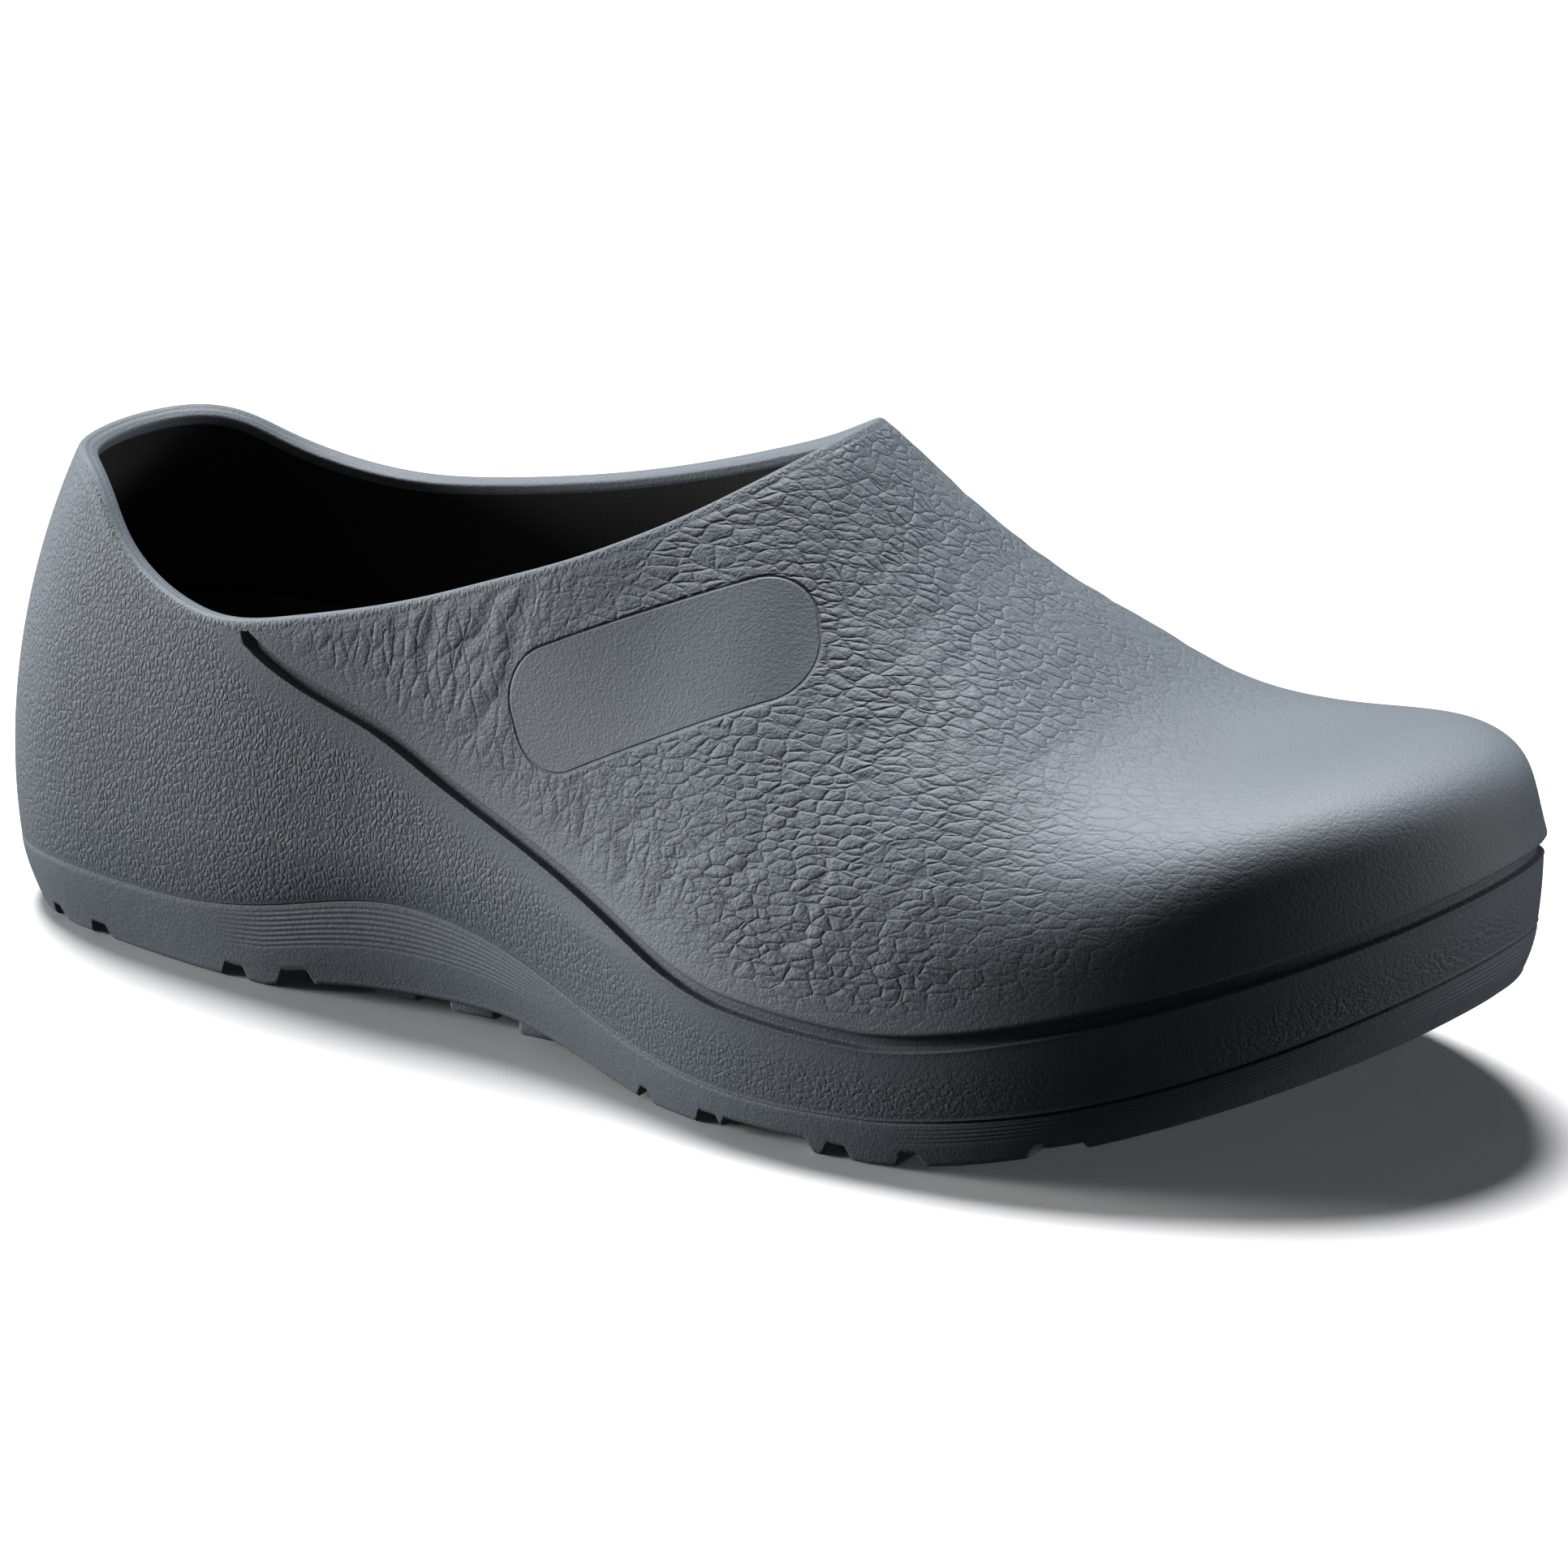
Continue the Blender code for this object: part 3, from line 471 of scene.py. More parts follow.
fromRim = np.linalg.norm(base - base[:, -1:], axis=2)
atCollar = ((np.arange(count) <= throat) | (np.arange(count) >= count - throat)).astype(float)[:, None]
edgeFade = smooth(*fades["grain"], away) * (1 - atCollar * (1 - smooth(*fades["rim"], fromRim)))
openField = 1 - inField
lumps = fieldNoise(base, upper["lumpScale"], 3.0) + 0.6 * fieldNoise(base, upper["lumpScale"] * 1.9, 9.0)
topFade = 1 - 0.70 * smooth(*fades["toe"], station) - 0.22 * smooth(*fades["tip"], station)
backward = 1 - smooth(*fades["back"], base[..., 0] - 0.35 * (base[..., 2] - 0.070))
lowDown = (1 - smooth(*fades["low"], away)) * (1 - smooth(*fades["fore"], base[..., 0]))
upright = np.maximum(backward, lowDown)          # where the grain stands up instead of lying along the vamp
coarse = topFade * edgeFade
rise = proud - sunk + upper["lumps"] * lumps * coarse * openField + creaseLift(base) * edgeFade * openField
rise -= field["sunk"] * inField
middle, width = flash["over"]
ragged = 0.7 + 0.6 * fieldNoise(base, 900.0, 4.0)
rise += upper["flash"] * strong[:, None] * np.exp(-((away - middle) / width) ** 2) * ragged
vampPoints = base + facing * (rise * grooved[:, None])[..., None]
vampKeep = np.broadcast_to(grooved[:, None], levels.shape)
vampMarks = dict(coarse=coarse, upright=upright, fromField=np.clip(fromField, -0.005, 0.005),
                 sunk=sunk / upper["grooveDepth"])
vampPiece = gridObject("vamp", vampPoints, keep=vampKeep, marks=vampMarks)

# collar lip and inner wall
outerEdge = skin(turns, rim)
facingRim = outward(turns, rim)
innerEdge = outerEdge - shoe["wall"] * facingRim
rimAlong = np.roll(outerEdge, -1, 0) - np.roll(outerEdge, 1, 0)
rimAlong[throat] = rimAlong[count - throat] = (0, 1, 0)
lip = np.cross(facingRim, rimAlong)
lip /= np.maximum(np.linalg.norm(lip, axis=1), 1e-12)[:, None]
lip *= np.where(lip[:, 2] < 0, -1, 1)[:, None]
middle = (outerEdge + innerEdge) / 2
lipRows = []
for k in range(upper["lipRows"] + 1):
    angle = math.pi * k / upper["lipRows"]
    c, s = math.cos(angle), math.sin(angle)
    square = upper["lipSquare"]
    flat = (abs(c) ** square + abs(s) ** square) ** (-1 / square)
    lipRows.append(middle + (outerEdge - middle) * c * flat + lip * shoe["wall"] / 2 * s * flat)
collarColumns = np.concatenate([np.arange(count - throat, count), np.arange(0, throat + 1)])
lipPoints = np.stack(lipRows, 1)[collarColumns]
aroundLip = np.broadcast_to(np.linspace(0, 1, lipPoints.shape[1]), lipPoints.shape[:2])
lipPiece = gridObject("collar_lip", lipPoints, wrap=False, marks=dict(around=aroundLip))
innerRows = []
for k in range(upper["innerRows"]):
    level = rim * (1 - k / upper["innerRows"])
    innerRows.append(skin(turns, level) - shoe["wall"] * outward(turns, level))
sideHeight = (skin(turns, 0.0) - shoe["wall"] * outward(turns, 0.0))[:, 2]
for share in np.linspace(0, 1, upper["lowerRows"]):
    innerRows.append(insideAt(turns, sideHeight * (1 - share) + joint(turns) * share, shoe["wall"]))
innerPiece = gridObject("inner_wall", np.stack(innerRows, 1)[:, ::-1])

# outsole: ribbed side, lugs and underside
outsole = dict(ribs=8, ribDepth=0.00015, edgeRound=0.0013, roundRows=4, cutWidth=0.0040, cutDepth=0.0025,
               edgeBand=0.0080, relief=0.0045, soft=0.0007, sideRows=72, lugRows=9, ledge=0.0030,
               lugLength=0.0103, lugPitch=0.0171, lugStart=0.324, lugCount=3, lugInset=0.0030, lugClear=0.0012,
               lugRoot=0.002, lugRound=0.0012, sideCurve=1.6, toeLine=0.0009, toeLineWidth=0.05)
# ribs: starts and ends are stations along the sole, all others shares of the side's height
waistBand = dict(starts=(0.195, 0.250), ends=(0.400, 0.500), low=0.42, height=0.53, comesIn=(0.40, 0.48),
                 goesOut=(0.90, 0.96))
archBand = dict(pitch=0.05, depth=0.6, goesOut=(0.14, 0.20))
toeBand = dict(starts=(0.70, 0.80), pitch=0.105, depth=0.9, comesIn=(0.36, 0.46), goesOut=(0.86, 0.92))
cuts = named("station gap inset",
             (0.056, 0.9, 0), (0.100, 1.2, 0), (0.144, 0.8, 1), (0.180, 0.8, 1), (0.2165, 1.2, 0),
             (0.261, 1.6, 0), (0.538, 0.7, 0), (0.5906, 1.2, 0), (0.636, 0.8, 1), (0.6806, 1.1, 0),
             (0.727, 1.0, 0), (0.773, 0.8, 1), (0.830, 1.0, 1), (0.876, 0.8, 1), (0.922, 0.8, 1))
reliefs = named("station length", (0.632, 4.6), (0.812, 2.2))

soleHalf = evenHalf(upper["columns"])
steps = []
for station, length in [*zip(cuts["station"], cuts["gap"]), *zip(reliefs["station"], reliefs["length"])]:
    halfCut = outsole["cutWidth"] * length / 2
    steps += [station + side * (halfCut + d) / shoe["length"] for side in (-1, 1)
              for d in (-outsole["soft"], 0.0, outsole["soft"])]
stations = np.sort(np.concatenate([stationOf(soleHalf), steps]))
stations = stations[np.concatenate([[True], np.diff(stations) > 2e-4])]
soleHalf = np.arccos(np.clip(1 - 2 * stations, -1, 1))
soleTurns = bothSides(soleHalf)


def cutLift(station, fromEdge):         # how far the tread is cut away at a distance from the sole's edge
    lifted = np.zeros(np.broadcast(station, fromEdge).shape)
    soft = outsole["soft"]
    for s, gap, inset in zip(*cuts.values()):
        off = abs(station - s) * shoe["length"] - outsole["cutWidth"] * gap / 2
        clear = smooth(-soft, soft, fromEdge - outsole["edgeBand"]) if inset else 1.0
        lifted = np.maximum(lifted, (1 - smooth(-soft, soft, off)) * clear)
    for s, length in zip(*reliefs.values()):
        off = abs(station - s) * shoe["length"] - outsole["cutWidth"] * length / 2
        clear = 1 - smooth(-soft, soft, fromEdge - outsole["relief"])
        lifted = np.maximum(lifted, (1 - smooth(-soft, soft, off)) * clear)
    return outsole["cutDepth"] * lifted


soleStation = stationOf(soleTurns)
px, py = outline(soleTurns)
sx, sy = spine(soleTurns)
reach = np.hypot(sx - px, sy - py)
top = joint(soleTurns) - shoe["fit"]
rimLow = soleEdge(soleTurns)
edgeCuts = cutLift(soleStation, np.zeros_like(soleStation))
jointIn, edgeIn = (shoe["tuck"] * spline(drawLine, name, soleStation) for name in ("joint", "edge"))
waistRibs = smooth(*waistBand["starts"], soleStation) * (1 - smooth(*waistBand["ends"], soleStation))
toeRibs = smooth(*toeBand["starts"], soleStation)


def sidePoint(height, inset):
    share = inset / reach
    return np.stack([px + (sx - px) * share, py + (sy - py) * share, height], 1)


def wave(turnsRound):                   # from 0 to 1 and back
    return 0.5 - 0.5 * np.cos(2 * math.pi * turnsRound)


def sideInset(height):                  # the side's hollow and its ribs at a height
    share = np.clip((height - rimLow - outsole["edgeRound"]) / (top - rimLow - outsole["edgeRound"]), 0, 1)
    inset = jointIn + (edgeIn - jointIn) * (1 - share) ** outsole["sideCurve"]
    waist = wave(outsole["ribs"] * (share - waistBand["low"]) / waistBand["height"])
    waist *= smooth(*waistBand["comesIn"], share) * (1 - smooth(*waistBand["goesOut"], share))
    arch = archBand["depth"] * wave(share / archBand["pitch"]) * (1 - smooth(*archBand["goesOut"], share))
    toe = toeBand["depth"] * wave(share / toeBand["pitch"])
    toe *= smooth(*toeBand["comesIn"], share) * (1 - smooth(*toeBand["goesOut"], share))
    inset += outsole["ribDepth"] * (waistRibs * (waist + arch) + toeRibs * toe)
    line = np.exp(-((share - 1.0) / outsole["toeLineWidth"]) ** 2)
    return inset + outsole["toeLine"] * (0.15 + 0.85 * toeRibs) * line


rows = [sidePoint(top, jointIn + outsole["ledge"]), sidePoint(top, sideInset(top))]
start = rimLow + edgeCuts + outsole["edgeRound"]
clear = rimLow + outsole["cutDepth"] + outsole["edgeRound"] + outsole["soft"]     # above every cut
for k in range(1, outsole["sideRows"] + 1):
    height = top + (clear - top) * k / outsole["sideRows"]
    rows.append(sidePoint(height, sideInset(height)))
for k in range(1, outsole["lugRows"] + 1):
    height = clear + (start - clear) * k / outsole["lugRows"]
    rows.append(sidePoint(height, sideInset(height)))
for k in range(1, outsole["roundRows"] + 1):
    angle = math.pi / 2 * k / outsole["roundRows"]
    rows.append(sidePoint(start - outsole["edgeRound"] * math.sin(angle),
                          sideInset(start) + outsole["edgeRound"] * (1 - math.cos(angle))))
sidePoints = np.stack(rows, 1)[:, ::-1]
sidePiece = gridObject("outsole_side", sidePoints)

# the underside runs across from edge to edge, with rows close together beside the edge band
n = len(soleHalf)


def otherSide(rows):                    # the inner side's rows, from heel to toe
    return np.concatenate([rows[:1], rows[:n - 1:-1], rows[n - 1:n]])


outerRim, innerRim = sidePoints[:n, 0], otherSide(sidePoints[:, 0])
span = np.linalg.norm((innerRim - outerRim)[:, :2], axis=1)[:, None]
soft, band, relief = (outsole[name] for name in ("soft", "edgeBand", "relief"))
about = np.array([-soft, 0, soft])
inward = np.concatenate([[0.0, 0.0015, 0.003], relief + about, [0.0062], band + about,
                         np.linspace(band + 0.004, 0.05, 14)])
across = np.minimum(inward[None, :], span / 2)
across = np.concatenate([across, span - across[:, ::-1]], 1)
share = across / np.maximum(span, 1e-9)
undersidePoints = outerRim[:, None] * (1 - share[..., None]) + innerRim[:, None] * share[..., None]
level = rimLow[:n, None] * (1 - share) + otherSide(rimLow)[:, None] * share
fromEdge = np.minimum(across, span - across)
undersidePoints[..., 2] = level + cutLift(stationOf(soleHalf)[:, None], fromEdge)
undersidePiece = gridObject("outsole_underside", undersidePoints[:, ::-1], wrap=False)

waist = bmesh.new()
for k in range(outsole["lugCount"]):
    station = outsole["lugStart"] + k * outsole["lugPitch"] / shoe["length"]
    turn = math.acos(1 - 2 * station)
    x, outerY = outline(turn)
    innerY = outline(2 * math.pi - turn)[1]
    inset = shoe["tuck"] * float(spline(drawLine, "edge", station)) + outsole["lugInset"]
    lowest, highest = outsole["lugClear"], float(soleEdge(turn)) + outsole["lugRoot"]
    size = (outsole["lugLength"], float(innerY - outerY) - 2 * inset, highest - lowest)
    made = bmesh.ops.create_cube(waist, size=1.0)["verts"]
    bmesh.ops.scale(waist, vec=size, verts=made)
    middle = (float(x), float(outerY + innerY) / 2, (lowest + highest) / 2)
    bmesh.ops.translate(waist, vec=middle, verts=made)
bmesh.ops.bevel(waist, geom=waist.edges[:], offset=outsole["lugRound"], segments=4, profile=0.5, affect="EDGES")
waistMesh = bpy.data.meshes.new("waist_lugs")
waist.to_mesh(waistMesh)
waist.free()
waistMesh.shade_smooth()
waistPiece = bpy.data.objects.new("waist_lugs", waistMesh)
bpy.context.scene.collection.objects.link(waistPiece)
print("outsole made")

# footbed
footbed = dict(columns=240, rows=44, thickness=0.0050, cup=0.0110, cupWidth=0.013, cupEnd=0.55,
               cupPower=0.7, roundEdge=0.0012, closeness=1.5)
bedTurns = bothSides(evenHalf(footbed["columns"]))
bedStation = stationOf(bedTurns)
bx, by = spine(bedTurns)
bedBase = floorAt(bedStation) + shoe["fit"]
cup = footbed["cup"] * np.clip(1 - bedStation / footbed["cupEnd"], 0, 1) ** footbed["cupPower"]
edgeTop = insideAt(bedTurns, bedBase + footbed["thickness"] + cup, shoe["wall"] + shoe["fit"])
edgeLow = insideAt(bedTurns, bedBase, shoe["wall"] + shoe["fit"])
bedReach = np.hypot(bx - edgeTop[:, 0], by - edgeTop[:, 1])
rows = [edgeLow, edgeLow * 0.5 + edgeTop * 0.5 - np.array([0, 0, footbed["roundEdge"] / 2])]
cupInset = np.array([0.0, 0.18, 0.60, 1.20, 9.0]) * footbed["cupWidth"]
cupRise = np.array([1.0, 0.95, 0.35, 0.04, 0.0])
for k in range(footbed["rows"]):
    share = (k / (footbed["rows"] - 1)) ** footbed["closeness"]
    inset = share * bedReach
    samples = [np.interp(inset + d, cupInset, cupRise) for d in (-0.002, -0.001, 0.0, 0.001, 0.002)]
    rise = cup * np.mean(samples, 0)
    rise -= footbed["roundEdge"] * (1 - smooth(0, footbed["roundEdge"], inset)) * 0.6
    x = edgeTop[:, 0] + (bx - edgeTop[:, 0]) * share
    y = edgeTop[:, 1] + (by - edgeTop[:, 1]) * share
    ground = floorAt(np.clip(bedStation * (1 - share) + (bx / shoe["length"] + 0.5) * share, 0, 1))
    rows.append(np.stack([x, y, ground + shoe["fit"] + footbed["thickness"] + rise], 1))
footbedPiece = gridObject("footbed", np.stack(rows, 1))
print("footbed made")


# materials
class Wire:                             # a socket that takes part in sums
    def __init__(self, sheet, socket):
        self.sheet, self.socket = sheet, socket

    def join(self, operation, *others):
        return self.sheet.node("ShaderNodeMath", dict(operation=operation), *others)

    def __add__(self, other):
        return self.join("ADD", self, other)

    def __radd__(self, other):
        return self.join("ADD", other, self)

    def __sub__(self, other):
        return self.join("SUBTRACT", self, other)

    def __rsub__(self, other):
        return self.join("SUBTRACT", other, self)

    def __mul__(self, other):
        return self.join("MULTIPLY", self, other)

    def __rmul__(self, other):
        return self.join("MULTIPLY", other, self)


class Sheet:                            # one material
    def __init__(self, name):
        self.material = bpy.data.materials.new(name)
        self.material.use_nodes = True
        self.tree = self.material.node_tree
        self.shader = self.tree.nodes["Principled BSDF"]

    def node(self, kind, settings, *inputs, out=0, places=None, **byName):
        made = self.tree.nodes.new(kind)
        for key, value in settings.items():
            setattr(made, key, value)
        for place, value in [*enumerate(inputs), *(places or {}).items(), *byName.items()]:
            socket = made.inputs[place]
            if isinstance(value, Wire):
                self.tree.links.new(value.socket, socket)
            else:
                socket.default_value = value
        return Wire(self, made.outputs[out])

    def mark(self, name):               # a number that the mesh carries
        return self.node("ShaderNodeAttribute", dict(attribute_name=name), out="Fac")

    def span(self, value, low, high):   # from 0 at low to 1 at high
        return self.node("ShaderNodeMapRange", dict(interpolation_type="SMOOTHSTEP"), value, low, high)

    def mix(self, fac, one, other):     # colours
        return self.node("ShaderNodeMix", dict(data_type="RGBA"), places={0: fac, 6: one, 7: other}, out=2)

    def set(self, name, value):
        if isinstance(value, Wire):
            self.tree.links.new(value.socket, self.shader.inputs[name])
        else:
            self.shader.inputs[name].default_value = value

    def bump(self, height):
        made = self.node("ShaderNodeBump", {}, Strength=1.0, Distance=1.0, Height=height)
        self.set("Normal", made)


def spotOf(sheet):
    return sheet.node("ShaderNodeTexCoord", {}, out="Object")


def wandering(sheet, spot, amount, scale):       # pushes the points about a little
    swirl = sheet.node("ShaderNodeTexNoise", dict(noise_dimensions="3D"), out="Color", Vector=spot,
                       Scale=scale, Detail=2.0)
    shift = sheet.node("ShaderNodeVectorMath", dict(operation="MULTIPLY_ADD"), swirl,
                       (amount,) * 3, (-amount / 2,) * 3)
    return sheet.node("ShaderNodeVectorMath", dict(operation="ADD"), spot, shift)


def turned(sheet, spot, degrees, stretch):       # turned about the upright axis, then stretched
    about = sheet.node("ShaderNodeVectorRotate", dict(rotation_type="Z_AXIS"), Vector=spot,
                       Angle=math.radians(-degrees))
    return sheet.node("ShaderNodeVectorMath", dict(operation="MULTIPLY"), about, stretch)


def edgeGap(sheet, spot, scale):                 # distance from the creases between cells
    return sheet.node("ShaderNodeTexVoronoi", dict(feature="DISTANCE_TO_EDGE"), out="Distance", Vector=spot,
                      Scale=scale, Randomness=0.95)


def cells(sheet, spot, kind):                    # the gap field of one kind of grain
    return edgeGap(sheet, turned(sheet, spot, kind["turn"], kind["stretch"]), kind["scale"])


def domed(sheet, gap, width):                    # a round cell with a soft valley about it
    ramp = sheet.node("ShaderNodeMapRange", dict(interpolation_type="LINEAR"), gap, 0.0, width, 1.0, 0.0)
    return 1 - ramp * ramp


def noiseAt(sheet, spot, scale, detail=2.0, rough=0.5):
    return sheet.node("ShaderNodeTexNoise", dict(noise_dimensions="3D"), out="Fac", Vector=spot, Scale=scale,
                      Detail=detail, Roughness=rough)


# heights of the grain are in metres, scales are cells per metre
slate = dict(base=(0.142, 0.166, 0.192, 1), deep=(0.050, 0.060, 0.072, 1), roughness=0.54, pore=0.00016,
             poreScale=1700.0, ior=1.45, grooveShade=0.42)


def finishSlate(sheet, height, tone, rough):
    pore = noiseAt(sheet, spotOf(sheet), slate["poreScale"], 3.0, 0.75)
    patch = noiseAt(sheet, spotOf(sheet), 45.0, 3.0)
    tone = tone * (0.60 + 0.78 * pore) * (0.96 + 0.08 * patch)
    sheet.set("Base Color", sheet.mix(tone, slate["deep"], slate["base"]))
    sheet.set("Roughness", rough + 0.10 * (pore - 0.5))
    sheet.bump(height + slate["pore"] * pore)
    sheet.set("IOR", slate["ior"])
    return sheet.material


lying = dict(turn=12.0, stretch=(0.52, 1.12, 1.20), scale=420.0, dome=0.36, valley=0.11)
standing = dict(turn=12.0, stretch=(1.05, 1.05, 0.52), scale=330.0, dome=0.46, valley=0.16)
net = dict(turn=12.0, stretch=(0.72, 1.12, 1.12), scale=760.0, dome=0.36)
swell = dict(turn=30.0, stretch=(0.5, 1.2, 1.2), scale=260.0)
vampGrain = dict(pillow=0.00021, valley=0.00007, net=0.000060, swell=0.00013, valleyShade=0.44,
                 outlineShade=0.34, outlineCore=0.00006)


def vampFinish():
    sheet = Sheet("vamp_grain")
    upright, gap, sunk = sheet.mark("upright"), sheet.mark("fromField"), sheet.mark("sunk")
    outside = sheet.span(gap, 0.0, field["line"] * 2)             # the grain stops at the bare field
    fromLine = sheet.node("ShaderNodeMath", dict(operation="ABSOLUTE"), gap)
    outline = 1 - sheet.span(fromLine, vampGrain["outlineCore"], field["line"])
    coarse = sheet.mark("coarse") * outside
    spot = spotOf(sheet)
    loose = wandering(sheet, spot, 0.0022, 170.0)
    close = wandering(sheet, spot, 0.0010, 560.0)
    patch = sheet.span(noiseAt(sheet, spot, 75.0, 2.0), 0.32, 0.62)
    flatGap, tallGap = (cells(sheet, loose, kind) for kind in (lying, standing))
    pillow = domed(sheet, flatGap, lying["dome"]) * (1 - upright)
    pillow = pillow + domed(sheet, tallGap, standing["dome"]) * upright
    valley = sheet.span(flatGap, 0.0, lying["valley"]) * (1 - upright)
    valley = valley + sheet.span(tallGap, 0.0, standing["valley"]) * upright
    depth = coarse * (0.45 + 0.55 * patch) * (1 - 0.35 * upright)
    height = vampGrain["pillow"] * depth * pillow + vampGrain["valley"] * depth * valley
    fine = domed(sheet, cells(sheet, close, net), net["dome"])
    height = height + vampGrain["net"] * (0.25 + 0.75 * coarse) * outside * fine
    slow = noiseAt(sheet, turned(sheet, loose, swell["turn"], swell["stretch"]), swell["scale"], 2.0)
    height = height + vampGrain["swell"] * coarse * slow - field["depth"] * outline
    creased = (1 - valley) * depth * (1 - 0.6 * upright)
    tone = 0.96 - vampGrain["valleyShade"] * creased - vampGrain["outlineShade"] * outline
    rough = slate["roughness"] + 0.08 * (1 - pillow) * coarse
    return finishSlate(sheet, height, tone * (1 - slate["grooveShade"] * sunk), rough)


pebbles = dict(turn=0.0, stretch=(1.15, 1.15, 0.74), scale=860.0, dome=0.42)     # a little taller than wide
folds = dict(turn=0.0, stretch=(0.70, 0.70, 1.25), scale=760.0, dome=0.36)
bumps = dict(turn=0.0, stretch=(1.0, 1.0, 0.6), scale=360.0)
sideGrain = dict(grain=0.000125, lumps=0.00009, foldShare=0.65, valleyShade=0.22)


def pebbled(sheet, spot):
    loose = wandering(sheet, spot, 0.0008, 480.0)
    return domed(sheet, cells(sheet, loose, pebbles), pebbles["dome"])


def wallFinish():
    sheet = Sheet("side_pebble")
    pebble, station, sunk = sheet.mark("pebble"), sheet.mark("station"), sheet.mark("sunk")
    spot = spotOf(sheet)
    loose = wandering(sheet, spot, 0.0010, 430.0)
    fore = sheet.span(station, 0.48, 0.66) * sideGrain["foldShare"]
    patch = noiseAt(sheet, spot, 90.0, 2.0)
    grain = pebbled(sheet, spot) * (1 - fore) + domed(sheet, cells(sheet, loose, folds), folds["dome"]) * fore
    depth = (0.06 + 0.94 * pebble) * (0.60 + 0.80 * patch)
    lumps = noiseAt(sheet, turned(sheet, loose, bumps["turn"], bumps["stretch"]), bumps["scale"], 2.0)
    height = sideGrain["grain"] * depth * grain + sideGrain["lumps"] * (0.25 + 0.75 * pebble) * lumps
    tone = (0.96 - sideGrain["valleyShade"] * (1 - grain) * pebble) * (1 - slate["grooveShade"] * sunk)
    return finishSlate(sheet, height, tone, slate["roughness"] + 0.03)


def lipFinish():
    sheet = Sheet("collar_lip")
    around = sheet.mark("around")
    spot = spotOf(sheet)
    outer = 1 - sheet.span(around, 0.22, 0.34)                    # the outer face carries the side's grain
    phase = around * 34.0 + 3.0 * noiseAt(sheet, spot, 120.0)
    strokes = sheet.node("ShaderNodeMath", dict(operation="SINE"), phase)
    height = 0.000030 * strokes * (1 - outer) + 0.00010 * noiseAt(sheet, spot, 260.0, 3.0)
    height = height + 0.00010 * outer * pebbled(sheet, spot)
    return finishSlate(sheet, height, 0.86 + 0.05 * strokes, slate["roughness"] + 0.02)


def outsoleFinish():
    sheet = Sheet("outsole_side")
    spot = spotOf(sheet)
    strokes = noiseAt(sheet, turned(sheet, spot, 0.0, (0.25, 0.25, 1.6)), 700.0, 3.0)
    height = 0.000055 * strokes + 0.00010 * noiseAt(sheet, spot, 240.0, 2.0)
    return finishSlate(sheet, height, 0.90 + 0.06 * strokes, slate["roughness"] + 0.06)


# painted shade: the inner wall is the same slate moulding as the outside, given a near-black colour that stands
# for the shade inside the shoe
def paintedShadeInside():
    sheet = Sheet("inner_wall")
    pore = noiseAt(sheet, spotOf(sheet), 1500.0, 3.0, 0.6)
    sheet.set("Base Color", sheet.mix(pore, (0.006, 0.006, 0.007, 1), (0.014, 0.015, 0.017, 1)))
    sheet.set("Roughness", 0.75 + 0.1 * pore)
    sheet.bump(0.00005 * pore)
    return sheet.material


def footbedFinish():
    sheet = Sheet("footbed_cover")
    nap = noiseAt(sheet, spotOf(sheet), 1800.0, 4.0, 0.7)
    patch = noiseAt(sheet, spotOf(sheet), 70.0, 2.0)
    worn = nap * 0.6 + patch * 0.4
    sheet.set("Base Color", sheet.mix(worn, (0.010, 0.010, 0.011, 1), (0.030, 0.031, 0.034, 1)))
    sheet.set("Roughness", 0.88 + 0.08 * nap)
    sheet.set("Sheen Weight", 0.35)
    sheet.set("Sheen Roughness", 0.5)
    sheet.bump(0.00012 * nap)
    return sheet.material


finishes = dict(vamp=vampFinish(), wall=wallFinish(), lip=lipFinish(), inside=paintedShadeInside(),
                outsole=outsoleFinish(), footbed=footbedFinish())
print("materials made")

for piece, node, slotName, finish in ((vampPiece, "upper", "upper", "vamp"),
                                      (counterPiece, "upper", "upper", "wall"),
                                      (lipPiece, "upper", "upper", "lip"),
                                      (innerPiece, "upper", "upper", "inside"),
                                      (sidePiece, "outsole", "outsole", "outsole"),
                                      (undersidePiece, "outsole", "outsole", "outsole"),
                                      (waistPiece, "outsole", "outsole", "outsole"),
                                      (footbedPiece, "insole", "insole", "footbed")):
    piece.data.materials.append(finishes[finish])
    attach(piece, "root")
    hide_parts(node)

# floor, light and camera
studio = dict(floor=(0.90, 0.90, 0.91, 1), reach=9.0, world=(0.92, 0.96, 1.0, 1), worldStrength=0.035,
              top=dict(way=(-0.33, 0.30, 0.90), strength=6.4, angle=24),
              heel=dict(way=(-0.96, -0.26, 0.11), strength=4.6, angle=22),
              toe=dict(way=(0.82, 0.55, 0.10), strength=1.3, angle=18))

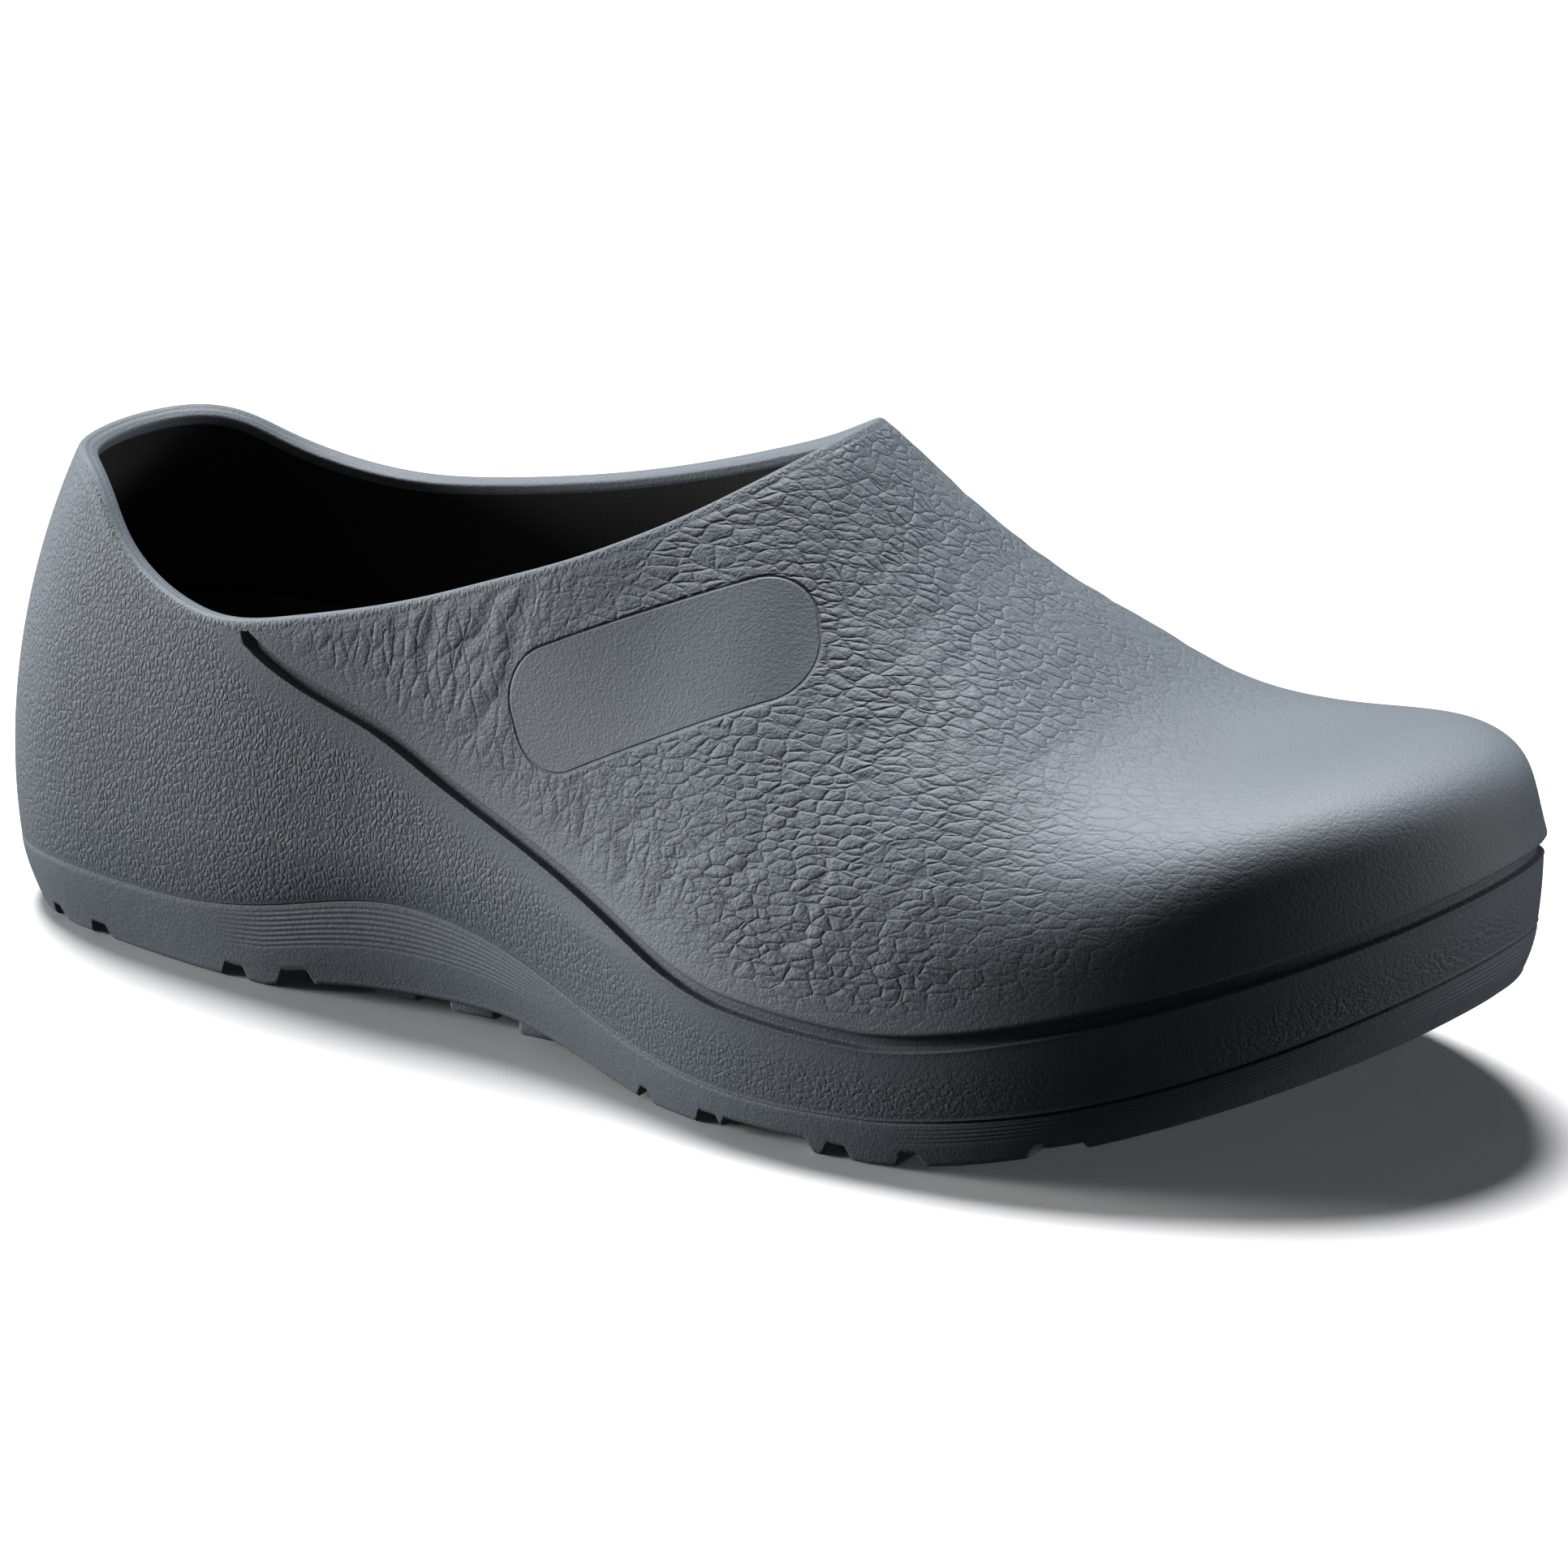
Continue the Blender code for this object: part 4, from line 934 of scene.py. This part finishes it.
floorMesh = bpy.data.meshes.new("floor")
corners = [(x * studio["reach"], y * studio["reach"], 0) for x, y in ((-1, -1), (1, -1), (1, 1), (-1, 1))]
floorMesh.from_pydata(corners, [], [(0, 1, 2, 3)])
floor = bpy.data.objects.new("floor", floorMesh)
bpy.context.scene.collection.objects.link(floor)
paper = Sheet("paper")
paper.set("Base Color", studio["floor"])
paper.set("Roughness", 0.9)
paper.set("Specular IOR Level", 0.0)
floorMesh.materials.append(paper.material)
floor.visible_diffuse = False           # no bounce from below, as in a studio shot on a light table
floor.visible_glossy = False

world = bpy.data.worlds.new("studio")
world.use_nodes = True
background = world.node_tree.nodes["Background"]
background.inputs["Color"].default_value = studio["world"]
background.inputs["Strength"].default_value = studio["worldStrength"]
bpy.context.scene.world = world


def placed(right, upward, back, spot):           # lamps and cameras look away from their back
    return Matrix([[right[r], upward[r], back[r], spot[r]] for r in range(3)] + [[0, 0, 0, 1]])


for name in ("top", "heel", "toe"):     # distant lamps
    light = bpy.data.lights.new(name, "SUN")
    light.energy = studio[name]["strength"]
    light.angle = math.radians(studio[name]["angle"])
    sun = bpy.data.objects.new(name, light)
    way = np.array(studio[name]["way"]) / np.linalg.norm(studio[name]["way"])
    across = np.cross((0, 0, 1), way)
    across /= np.linalg.norm(across)
    sun.matrix_world = placed(across, np.cross(way, across), way, (0, 0, 1))
    bpy.context.scene.collection.objects.link(sun)

view = dict(azimuth=31.99, elevation=19.739, roll=-1.185, distance=1.8075, aim=(0.00859, 0.0035, 0.0416),
            lens=236.33, sensor=36.0, clipEnd=60.0)
az, el, roll = (math.radians(view[name]) for name in ("azimuth", "elevation", "roll"))
back = np.array([math.sin(az) * math.cos(el), -math.cos(az) * math.cos(el), math.sin(el)])
right = np.array([math.cos(az), math.sin(az), 0.0])
up = np.cross(back, right)
rolledRight = right * math.cos(roll) + up * math.sin(roll)
rolledUp = up * math.cos(roll) - right * math.sin(roll)
stand = np.array(view["aim"]) + back * view["distance"]
cameraData = bpy.data.cameras.new("camera")
cameraData.lens = view["lens"]
cameraData.sensor_width = view["sensor"]
cameraData.clip_end = view["clipEnd"]
camera = bpy.data.objects.new("camera", cameraData)
camera.matrix_world = placed(rolledRight, rolledUp, back, stand)
bpy.context.scene.collection.objects.link(camera)
bpy.context.scene.camera = camera
bpy.context.scene.view_settings.view_transform = "Standard"
print("studio set")
